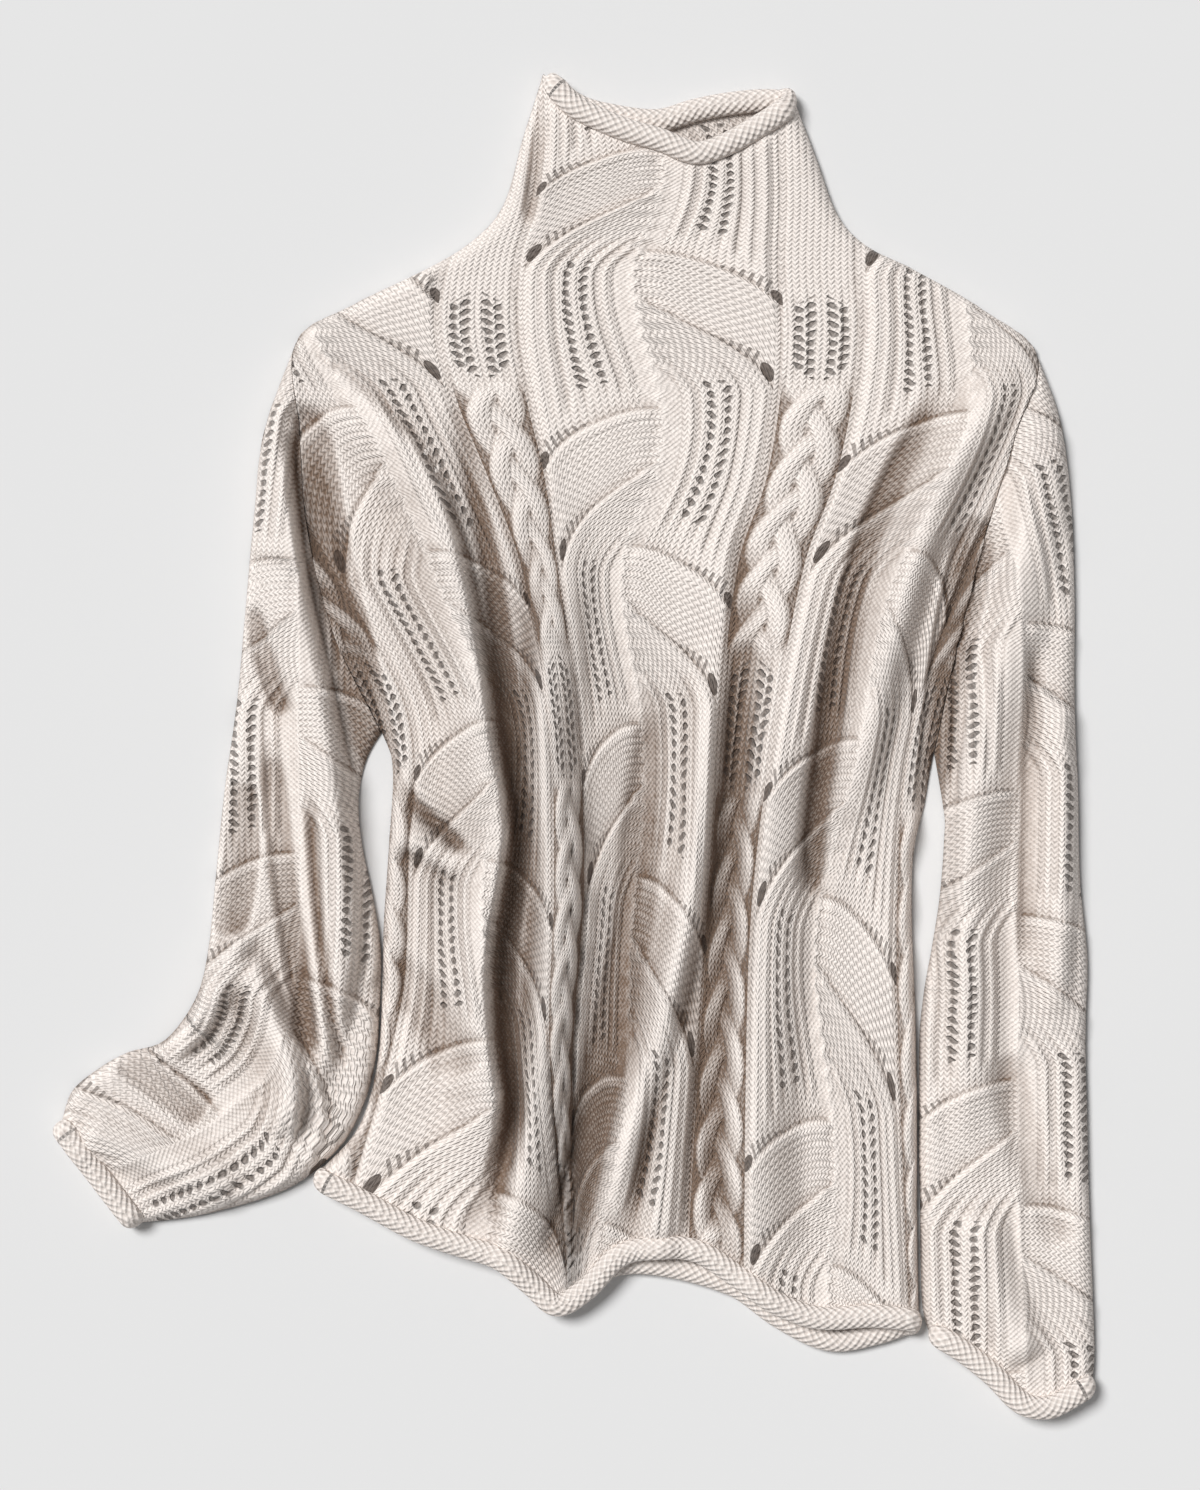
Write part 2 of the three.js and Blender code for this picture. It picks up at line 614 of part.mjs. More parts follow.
function cutEyelets(geometry, leaves) {
  const tallest = 60;
  let solid = toManifold(geometry);
  for (const { from, to } of leaves) {
    const turn = Math.atan2(to[1] - from[1], to[0] - from[0]);
    const half = { along: eyelet.length / 2, across: eyelet.width / 2 };
    const shoulderX = 0.2 * half.along;
    const corners = [
      [half.along, 0.4 * half.across], [shoulderX, half.across], [-half.along, 0], [shoulderX, -half.across],
    ];
    const outline = new THREE.Shape(corners.map(([a, b]) => new THREE.Vector2(a, b)));
    const cutter = new THREE.ExtrudeGeometry(outline, { depth: tallest, bevelEnabled: false });
    cutter.rotateZ(turn).translate(to[0], to[1], -1);
    solid = solid.subtract(toManifold(cutter));
  }
  const { vertProperties, triVerts } = solid.getMesh();
  const cut = new THREE.BufferGeometry();
  cut.setAttribute('position', new THREE.BufferAttribute(vertProperties, 3));
  cut.setIndex(new THREE.BufferAttribute(triVerts, 1));
  return cut;
}

const leavesOn = (low, high) => motifs
  .filter(({ kind, to }) => kind === 'leaf' && to[0] > low && to[0] < high);

const wool = new THREE.MeshStandardMaterial({ color: 0xd8cdc3, roughness: 0.95, metalness: 0 });
const sweater = new THREE.Group();
sweater.position.set(-origin.x, -origin.y, 0);

function addPiece(name, geometry) {
  const piece = new THREE.Mesh(geometry, wool.clone());
  piece.name = name;
  sweater.add(piece);
}

// The front has four rows for each body section, so a sleeve's columns meet them at the armhole.
const frontGrid = { columns: 44, rows: 68, crowding: 0.075 };
const sleeveGrid = { columns: 16, rows: 34, crowding: 0 };
const frontPoint = (across, up) => bodyPoint(across, up);
const backPoint = (across, up) => bodyPoint(across, up, backHem, backNeck);
addPiece('front', cutEyelets(clothWall(frontPoint, frontGrid), leavesOn(-140, 200)));
addPiece('back', hiddenLayer(backOutline(backPoint)));
addPiece('sleeve_left_upper', clothWall(leftSleevePoint, sleeveGrid));
addPiece('sleeve_left_lower', hiddenLayer(sleeveOutline(leftSleevePoint, -1)));
addPiece('sleeve_right_upper', cutEyelets(clothWall(rightSleevePoint, sleeveGrid), leavesOn(200, 300)));
addPiece('sleeve_right_lower', hiddenLayer(sleeveOutline(rightSleevePoint, 1)));

const rolls = {
  collar_roll: [(t) => frontPoint(t, 1), (t) => backPoint(t, 1), frontPoint(0.5, 0.8), frontGrid, 2],
  hem_roll: [(t) => frontPoint(t, 0), (t) => backPoint(t, 0), frontPoint(0.5, 0.3), frontGrid, 1],
};
for (const [side, point] of Object.entries({ left: leftSleevePoint, right: rightSleevePoint })) {
  const end = (t) => point(t, 1);
  rolls[`cuff_roll_${side}`] = [end, end, point(0.5, 0.8), sleeveGrid, 1];
}
for (const [name, form] of Object.entries(rolls)) addPiece(name, rolledEdge(...form));

export default sweater;
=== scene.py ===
"""A cable knit sweater with a funnel neck, laid face up on a pale floor under soft light."""

import logging
import math
from dataclasses import dataclass
from enum import Enum
from functools import partial
from typing import Callable, ClassVar, Sequence

import bpy
import numpy as np
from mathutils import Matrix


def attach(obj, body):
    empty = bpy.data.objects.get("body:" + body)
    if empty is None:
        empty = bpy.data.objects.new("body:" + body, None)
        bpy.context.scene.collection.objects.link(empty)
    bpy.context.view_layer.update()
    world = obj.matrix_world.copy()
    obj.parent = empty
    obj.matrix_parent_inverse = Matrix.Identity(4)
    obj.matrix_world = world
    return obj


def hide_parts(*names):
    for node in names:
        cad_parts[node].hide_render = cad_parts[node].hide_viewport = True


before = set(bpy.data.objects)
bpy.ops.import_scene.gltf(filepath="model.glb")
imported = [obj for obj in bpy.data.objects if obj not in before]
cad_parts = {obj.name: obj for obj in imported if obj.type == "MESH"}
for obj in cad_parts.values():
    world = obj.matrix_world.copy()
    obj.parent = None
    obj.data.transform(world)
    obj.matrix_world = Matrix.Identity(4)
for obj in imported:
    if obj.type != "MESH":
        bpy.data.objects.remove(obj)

log = logging.getLogger("sweater")
MM = 0.001
FRAME_SHIFT = (0.11, -4.17)
"""Millimetres from the garment's own plan to the frame."""

CLOTH_THICKNESS = 2.4
HIDDEN_LAYER_THICKNESS = 2.2
"""Millimetres of knit in a draped wall, and in a layer that lies flat."""
LEAST_CLOTH = 1.0
"""Millimetres of knit that stay between a wall's two faces everywhere."""
REST_HEIGHT = 12.2
LOWEST_OUTER = 5.6
LOWEST_OUTER_AT_ENDS = 12.0
"""Heights of the outer face: between the folds, in the deepest trough, and there beside an open end."""
END_REACH = 40.0
"""Millimetres from an open end over which the troughs reach their full depth."""
EDGE_RADIUS = 10.0
RIM_HEIGHT = 1.2
"""The rounding of a turned edge, and the height at which it ends."""
LOWEST_INNER = 2.6
LAYER_INSET = 12.0
"""The lowest place of a wall's inner face, and how far a flat layer stays inside the turned edges."""
CELL_SIZE = (1.5, 1.6)
"""About the size of a wall's cells across and along, in millimetres."""
HEM_REACH = 0.16
NECK_REACH = 0.14
CUFF_REACH = 0.16
"""Shares of the length over which the outline of an open end bends the rows of knit."""
UNDERARM = 7 / 17
SHOULDER = 11 / 17
"""Where the armhole starts and ends, as shares of the way from the hem to the neck."""
SEAM_GAP = 0.4
"""Millimetres between the body and a sleeve along the armhole."""

CHART_UNIT = 100.0
"""Millimetres of knit for one unit of a piece's map."""
PANEL_HALF = 82.0
"""Millimetres of knit from the middle of a leaf panel to the middle of a cable panel."""
REPEAT = 160.0
"""Millimetres of knit from one pair of leaves to the next on the same side of a stem."""
FIRST_DROP = 35.0
FIRST_REACH = 66.0
FIRST_BEND = 2.4
"""The upper edge of the first leaf: its drop at its reach from the stem, and the power of its bend."""
SECOND_START = 27.0
SECOND_FALL = 56.0
SECOND_BEND = 1.5
"""The upper edge of the second leaf: where it starts, and the fall over which it turns downwards."""
PANEL_EDGE = 60.0
GROOVE_PLACE = PANEL_EDGE + 4.2
"""Millimetres of knit from a stem to the edge of its leaf panel, and to the groove beside it."""
SLANT = 0.64
"""Cosine of the second edge's slope."""
LEFT_LEAF_START = 4.8
RIGHT_LEAF_START = 73.6
"""Millimetres of knit down to the first leaf on each side of a stem."""
LADDER_MIDDLE = 32.0
"""Millimetres of knit from the second leaf's turned edge to the middle of its two ladders."""
RIB_PITCH = 8.0
"""Millimetres of knit from one rib beside a ladder to the next."""

CABLE_SWING = 9.6
CABLE_HALF = 6.9
"""Millimetres from a cable's middle to the middle of an outer strand, and half a strand's width."""
CABLE_TURN = 84.0
CABLE_LIFT = 3.6
CABLE_CROSSING = 2.2
"""Millimetres of knit for a strand's whole way, its mean height, and how far it rises over the others."""

# The plan of the laid garment in millimetres: left and right edge points from the hem to the neck, and outer
# and inner edge points of the sleeves from the armhole to the cuff.
BODY_SECTIONS = np.array([
    [-143, -238, 191, -317], [-120, -214, 190, -262], [-109, -180, 190, -205],
    [-106, -140, 189, -150], [-105, -100, 187, -95], [-102, -55, 188, -60],
    [-100, -15, 194, -33], [-106, 6, 199, -5], [-132, 60, 212, 55],
    [-147, 120, 227, 115], [-151, 175, 243, 170], [-153, 222, 256, 214],
    [-121, 243, 226, 240], [-82, 262, 188, 262], [-57, 277, 162, 275],
    [-39, 297, 146, 292], [-28, 332, 134, 324], [-17, 362, 123, 353],
], float)
LEFT_SLEEVE_SECTIONS = np.array([
    [-171, 172, -113, -5], [-177, 123, -117, -17], [-182, 68, -119, -34],
    [-186, 24, -117, -56], [-193, -26, -111, -85], [-198, -75, -106.6, -114],
    [-202, -114, -107.2, -147], [-209, -141, -109.4, -174], [-226, -164, -117, -202],
    [-247, -171, -131, -225], [-263, -180, -158, -246], [-277, -192, -203, -260],
    [-283, -209, -240, -265],
], float)
RIGHT_SLEEVE_SECTIONS = np.array([
    [269, 178, 205, -39], [275, 134, 205, -52], [277, 79, 204, -69],
    [277, 24, 202, -89], [279, -26, 198, -114], [280, -75, 194, -136],
    [284, -119, 191.4, -160], [283, -163, 191, -191], [284, -207, 191, -224],
    [285, -251, 191.6, -257], [287, -301, 192, -290], [288, -334, 193, -312],
    [287, -350, 196, -324],
], float)
# The shapes of the open ends: shares of the way across, and how far the end lies off a straight line.
FRONT_HEM = np.array([
    [0, 0], [0.08, -7], [0.17, -16], [0.25, -19], [0.31, -21], [0.36, -31], [0.4, -39],
    [0.45, -26], [0.5, -5], [0.55, 4], [0.63, 9], [0.7, 0], [0.76, -9], [0.83, -12],
    [0.92, -4], [1, 0],
])
BACK_HEM = np.array([
    [0, 0], [0.17, -16], [0.31, -19], [0.41, -22], [0.54, -6], [0.69, -6], [0.77, -18],
    [0.85, -24], [0.93, -14], [1, 0],
])
FRONT_NECK = np.array([
    [0, 8], [0.06, -2], [0.13, -11], [0.31, -21], [0.46, -26], [0.6, -32], [0.71, -27],
    [0.86, -14], [1, 0],
])
LEFT_CUFF = np.array([[0, 0], [0.5, 0], [1, 0]], float)
RIGHT_CUFF = np.array([[0, 3], [0.1, 9], [0.2, 17], [0.3, 23], [0.45, 24], [0.62, 13], [0.85, 3], [1, 0]])
BACK_NECK = np.array([
    [0, 8], [0.06, -1], [0.13, -8], [0.23, -12], [0.45, -14], [0.6, -7], [0.74, -2], [0.89, 1], [1, 0],
])

Points = np.ndarray
Plan = Callable[[np.ndarray, np.ndarray], Points]


@dataclass(frozen=True)
class Fold:
    """One fold of the laid cloth.

    Args:
        line: Points of its crest or trough, in millimetres.
        height: Millimetres at its middle; below zero it is a trough.
        left: Millimetres from the line to the foot on the -X side.
        right: The same on the +X side.
    """

    line: tuple[tuple[float, float], ...]
    height: float
    left: float
    right: float


FOLDS = (
    # The front, from the left to the right.
    Fold(
        (
            (-128, 200), (-82, 150), (-60, 80), (-47, 0), (-40, -50), (-50, -115), (-48, -165), (-44, -200),
            (-56, -250),
        ),
        20, 30, 8,
    ),
    Fold(
        ((-66, 180), (-46, 101), (-34, 0), (-29, -50), (-37, -115), (-36, -170), (-31, -205), (-42, -255)),
        -11, 8, 9,
    ),
    Fold(((-8, 110), (-14, 0), (-9, -80), (-13, -140), (-22, -215), (-36, -285)), 18, 15, 22),
    Fold(((46, 20), (38, -60), (34, -103), (17, -183), (0, -257), (-8, -285)), -15, 17, 14),
    Fold(((76, 50), (70, -35), (61, -100), (48, -155), (32, -210), (18, -270)), 15, 13, 12),
    Fold(((60, -150), (52, -215), (46, -280)), 9, 14, 13),
    Fold(((95, 125), (88, -20), (79, -160), (78, -235), (86, -290)), -7, 11, 14),
    Fold(((124, 90), (110, -40), (103, -140), (98, -220), (104, -295)), 14, 20, 28),
    Fold(((200, 190), (163, 115), (146, 45), (132, -40), (130, -85)), -12, 11, 12),
    Fold(((238, 205), (196, 125), (172, 50), (150, -45)), 14, 17, 16),
    # Pinches across its left side.
    Fold(((-106, -62), (-93, -54), (-77, -60), (-62, -71)), 7, 9, 14),
    Fold(((-106, -12), (-88, -32), (-73, -46), (-58, -60)), -6, 8, 6),
    Fold(((-109, -124), (-82, -142), (-58, -182)), -8, 20, 20),
    # The hollows under the arms. Their great depth mostly goes into the painted trough shade, as the outer
    # face stops at its lowest height.
    Fold(((-147, 175), (-136, 105), (-123, 50), (-114, 10), (-106, -25)), -64, 17, 16),
    Fold(((222, 115), (212, 70), (205, 25), (199, -40)), -58, 14, 14),
    # The left sleeve down to the lobe at its bend, and the cuff.
    Fold(
        ((-161, 200), (-156, 140), (-150, 75), (-137, 10), (-128, -60), (-127, -130), (-146, -195)),
        13, 24, 11,
    ),
    Fold(((-184, -22), (-184, -65), (-191, -106)), -24, 12, 14),
    Fold(((-166, -5), (-157, -90), (-143, -170)), -12, 10, 9),
    Fold(((-144, -30), (-139, -100), (-128, -176)), -7, 6, 6),
    Fold(((-178, 75), (-169, 45), (-159, 15)), -8, 9, 9),
    Fold(((-178, -116), (-164, -150), (-153, -185), (-158, -218)), 13, 18, 9),
    Fold(((-248, -170), (-226, -187), (-202, -204)), -15, 14, 14),
    Fold(((-180, -98), (-191, -128), (-204, -152), (-222, -172)), 8, 10, 11),
    Fold(((-272, -212), (-233, -226), (-185, -246)), 8, 17, 17),
    # The right sleeve.
    Fold(((256, 190), (247, 110), (237, 50), (224, -10), (216, -70), (215, -141), (217, -220)), 12, 13, 24),
    Fold(((267, 30), (268, -59), (265, -150)), 8, 13, 11),
    Fold(((254, 57), (250, -31), (249, -119)), -5, 8, 8),
    Fold(((238, -170), (250, -222), (270, -278)), -6, 17, 15),
    Fold(((222, -255), (232, -301), (250, -340)), 9, 18, 18),
    # The neck.
    Fold(((-12, 370), (-20, 330), (-26, 285)), -6, 5, 8),
)


def eased(value: np.ndarray, low: float, high: float) -> np.ndarray:
    """A smooth step.

    Args:
        value: Any numbers.
        low: Where the step starts.
        high: Where it is done; below low for a step down.

    Returns:
        Numbers from 0 to 1.
    """
    t = np.clip((value - low) / (high - low), 0, 1)
    return t * t * (3 - 2 * t)


def mixed(a: np.ndarray | float, b: np.ndarray | float, share: np.ndarray) -> np.ndarray:
    """The value a share of the way from a to b."""
    return a + (b - a) * share


def along(rows: np.ndarray, share: np.ndarray) -> np.ndarray:
    """A smooth curve through evenly placed rows of numbers.

    Args:
        rows: One row of numbers for each place.
        share: Shares of the way along them.

    Returns:
        One row of numbers for each share.
    """
    last = len(rows) - 1
    place = np.asarray(share, float) * last
    k = np.clip(place.astype(int), 0, last - 1)
    t = (place - k)[..., None]
    a, b, d, e = (rows[np.clip(k + o, 0, last)] for o in (-1, 0, 1, 2))
    return b + 0.5 * t * (d - a + t * (2 * a - 5 * b + 4 * d - e + t * (3 * (b - d) + e - a)))


def through(knots: np.ndarray, values: np.ndarray, x: np.ndarray) -> np.ndarray:
    """A smooth curve through unevenly placed values.

    Args:
        knots: Rising places.
        values: A number or a row of numbers for each.
        x: Where to read the curve.

    Returns:
        A number or a row for each x.
    """
    last = len(knots) - 1
    before = np.clip(np.arange(last + 1) - 1, 0, last)
    after = np.clip(np.arange(last + 1) + 1, 0, last)
    wide = (knots[after] - knots[before])
    slopes = (values[after] - values[before]) / (wide if values.ndim == 1 else wide[:, None])
    x = np.asarray(x, float)
    k = np.clip(np.searchsorted(knots, x, "right") - 1, 0, last - 1)
    span = knots[k + 1] - knots[k]
    t = (x - knots[k]) / span
    if values.ndim == 2:
        t, span = t[..., None], span[..., None]
    t2, t3 = t * t, t * t * t
    return (
        (2 * t3 - 3 * t2 + 1) * values[k] + (t3 - 2 * t2 + t) * span * slopes[k]
        + (3 * t2 - 2 * t3) * values[k + 1] + (t3 - t2) * span * slopes[k + 1]
    )


def body_point(
    across: np.ndarray, up: np.ndarray, hem: np.ndarray = FRONT_HEM, neck: np.ndarray = FRONT_NECK,
) -> Points:
    """Points of the body's plan.

    Args:
        across: Shares from the left edge to the right one.
        up: Shares from the hem to the neck.
        hem: The hem's offsets.
        neck: The neck's offsets.

    Returns:
        Plan points in millimetres.
    """
    across, up = np.broadcast_arrays(np.asarray(across, float), np.asarray(up, float))
    row = along(BODY_SECTIONS, up)
    hem_share = np.maximum(0, 1 - up / HEM_REACH) ** 2
    neck_share = np.maximum(0, 1 - (1 - up) / NECK_REACH) ** 2
    x = mixed(row[..., 0], row[..., 2], across)
    y = mixed(row[..., 1], row[..., 3], across)
    y = y + hem_share * through(hem[:, 0], hem[:, 1], across)
    y = y + neck_share * through(neck[:, 0], neck[:, 1], across)
    return np.stack([x, y], -1)


def back_point(across: np.ndarray, up: np.ndarray) -> Points:
    """Points of the back layer's plan."""
    return body_point(across, up, BACK_HEM, BACK_NECK)


@dataclass(frozen=True)
class Sleeve:
    """The plan of a sleeve.

    Args:
        sections: Outer and inner edge points from the armhole to the cuff.
        side: -1 on the left, 1 on the right.
        cuff: Shares across and how far the open end lies lower there, in millimetres.
    """

    ARMHOLE_REACH: ClassVar[float] = 0.3
    """Share of the length over which the armhole's curve dies away."""

    sections: np.ndarray
    side: int
    cuff: np.ndarray

    def point(self, across: np.ndarray, down: np.ndarray) -> Points:
        """Points of the sleeve's plan.

        Args:
            across: Shares from the outer to the inner edge.
            down: Shares from the armhole to the cuff.

        Returns:
            Plan points in millimetres.
        """
        across, down = np.broadcast_arrays(np.asarray(across, float), np.asarray(down, float))
        first = np.concatenate([self._armhole(np.zeros(1))[0], self._armhole(np.ones(1))[0]])
        rows = np.vstack([first, self.sections])
        row = along(rows, down)
        hole = self._armhole(across)
        bow = np.maximum(0, 1 - down / self.ARMHOLE_REACH) ** 2
        straight = np.stack([mixed(first[0], first[2], across), mixed(first[1], first[3], across)], -1)
        plain = np.stack(
            [mixed(row[..., 0], row[..., 2], across), mixed(row[..., 1], row[..., 3], across)], -1
        )
        plain = plain + bow[..., None] * (hole - straight)
        end = np.maximum(0, 1 - (1 - down) / CUFF_REACH) ** 2
        plain[..., 1] -= end * through(self.cuff[:, 0], self.cuff[:, 1], across)
        return plain

    def _armhole(self, across: np.ndarray) -> Points:
        """Points of the armhole's line.

        Args:
            across: Shares of the way from the shoulder to the underarm.

        Returns:
            The points, on the plan.
        """
        edge = 0.0 if self.side < 0 else 1.0
        spot = body_point(np.full_like(across, edge), mixed(SHOULDER, UNDERARM, across))
        return spot + np.array([self.side * SEAM_GAP, 0.0])


LEFT_SLEEVE = Sleeve(LEFT_SLEEVE_SECTIONS, -1, LEFT_CUFF)
RIGHT_SLEEVE = Sleeve(RIGHT_SLEEVE_SECTIONS, 1, RIGHT_CUFF)


def line_of(point: Plan, across: np.ndarray | float, along_it: np.ndarray | float) -> Points:
    """A line of plan points where one of the two shares varies."""
    return point(np.asarray(across, float), np.asarray(along_it, float))


def nearest(line: Points, spots: Points) -> tuple[np.ndarray, np.ndarray, np.ndarray]:
    """How points lie to a line.

    Args:
        line: Its points in order.
        spots: The points to measure.

    Returns:
        Distances, shares along the line, and the sides, above zero to the left of its direction.
    """
    best = np.full(len(spots), np.inf)
    share = np.zeros(len(spots))
    side = np.zeros(len(spots))
    for i in range(len(line) - 1):
        a, d = line[i], line[i + 1] - line[i]
        rel = spots - a
        t = np.clip(rel @ d / max(d @ d, 1e-9), 0, 1)
        out = rel - t[:, None] * d
        gap = np.hypot(out[:, 0], out[:, 1])
        nearer = gap < best
        best = np.where(nearer, gap, best)
        share = np.where(nearer, (i + t) / (len(line) - 1), share)
        side = np.where(nearer, d[0] * out[:, 1] - d[1] * out[:, 0], side)
    return best, share, side


def nearest_of(lines: Sequence[Points], spots: Points) -> np.ndarray:
    """The distance from each point to the nearest of several lines."""
    return np.min([nearest(line, spots)[0] for line in lines], axis=0)


def _turned_edges() -> list[Points]:
    """The lines along which the garment's cloth turns under.

    Returns:
        One line for each edge, from the front to the back.
    """
    low, high = np.linspace(0, UNDERARM, 25), np.linspace(SHOULDER, 1, 25)
    whole = np.linspace(0, 1, 43)
    edges = [line_of(body_point, side, part) for part in (low, high) for side in (0.0, 1.0)]
    for sleeve in (LEFT_SLEEVE, RIGHT_SLEEVE):
        edges += [line_of(sleeve.point, side, whole) for side in (0.0, 1.0)]
    return edges


TURNED_EDGES = _turned_edges()
OPEN_ENDS = [
    line_of(body_point, np.linspace(0, 1, 31), 0.0),
    line_of(body_point, np.linspace(0, 1, 17), 1.0),
    line_of(LEFT_SLEEVE.point, np.linspace(0, 1, 3), 1.0),
    line_of(RIGHT_SLEEVE.point, np.linspace(0, 1, 13), 1.0),
]


@dataclass(frozen=True)
class Drape:
    """The height of the laid cloth over its plan.

    Args:
        lift: How much higher the soft folds stand here than in the CAD model.
        deep: Millimetres of a deep trough, for the painted trough shade.
        deepest: The most that a hollow counts, in deep troughs, for that painted shade.
        crest_power: Below 1 it makes a crest rounder than a trough.
        steps: Straight pieces of a fold's line.
        fade: Share of that line over which the fold dies away at each end.
    """

    lift: float = 1.25
    deep: float = 14.0
    deepest: float = 3.0
    crest_power: float = 0.75
    steps: int = 20
    fade: float = 0.2

    def folds(self, spots: Points) -> np.ndarray:
        """The height that the folds add.

        Args:
            spots: Points of the plan.

        Returns:
            Millimetres for each point.
        """
        total = np.zeros(len(spots))
        for fold in FOLDS:
            near, part = self._part(fold, spots)
            total[near] += self.lift * fold.height * part
        return total

    def hollows(self, spots: Points) -> np.ndarray:
        """How much painted shade the deep troughs add to the colour, by how deep they are.

        Args:
            spots: Points of the plan.

        Returns:
            For each point, 0 outside the deep troughs and more towards their middle.
        """
        total = np.zeros(len(spots))
        for fold in FOLDS:
            if fold.height < 0:
                near, part = self._part(fold, spots)
                total[near] += part * -fold.height / self.deep
        return np.minimum(total, self.deepest)

    def _part(self, fold: Fold, spots: Points) -> tuple[np.ndarray, np.ndarray]:
        """How a fold reaches the points.

        Args:
            fold: The fold.
            spots: Plan points.

        Returns:
            The numbers of the points that it reaches, and the part of its height that each one has.
        """
        line = along(np.array(fold.line, float), np.linspace(0, 1, self.steps + 1))
        reach = max(fold.left, fold.right)
        low, high = line.min(0) - reach, line.max(0) + reach
        near = np.flatnonzero(((spots > low) & (spots < high)).all(1))
        gap, share, side = nearest(line, spots[near])
        width = np.where(side < 0, fold.left, fold.right)
        fade = eased(np.minimum(share, 1 - share), -0.3 * self.fade, self.fade)
        bell = 0.5 * (1 + np.cos(np.pi * np.minimum(gap / width, 1)))
        return near, fade * (bell**self.crest_power if fold.height > 0 else bell)

    def height(self, spots: Points) -> np.ndarray:
        """The outer face of the upper layer, without the raised knit.

        Args:
            spots: Points of the plan.

        Returns:
            Millimetres above the floor for each point.
        """
        to_end = eased(nearest_of(OPEN_ENDS, spots), 0, END_REACH)
        lowest = mixed(LOWEST_OUTER_AT_ENDS, LOWEST_OUTER, to_end)
        free = REST_HEIGHT + self.folds(spots) - lowest
        full = lowest + 0.5 * (free + np.sqrt(free * free + 4))
        inset = np.minimum(1, nearest_of(TURNED_EDGES, spots) / EDGE_RADIUS)
        return RIM_HEIGHT + (full - RIM_HEIGHT) * np.sqrt(1 - (1 - inset) ** 2)


DRAPE = Drape()


@dataclass
class Stitches:
    """Where each point of the cloth lies in the knitting chart.

    Args:
        across: Millimetres of knit from the middle stem.
        down: Millimetres of knit from the first row of the chart.
        cable: 1 where the panel between the leaves is a cable.
        ladder: 1 where that panel is a pair of ladders.
    """

    across: np.ndarray
    down: np.ndarray
    cable: np.ndarray
    ladder: np.ndarray


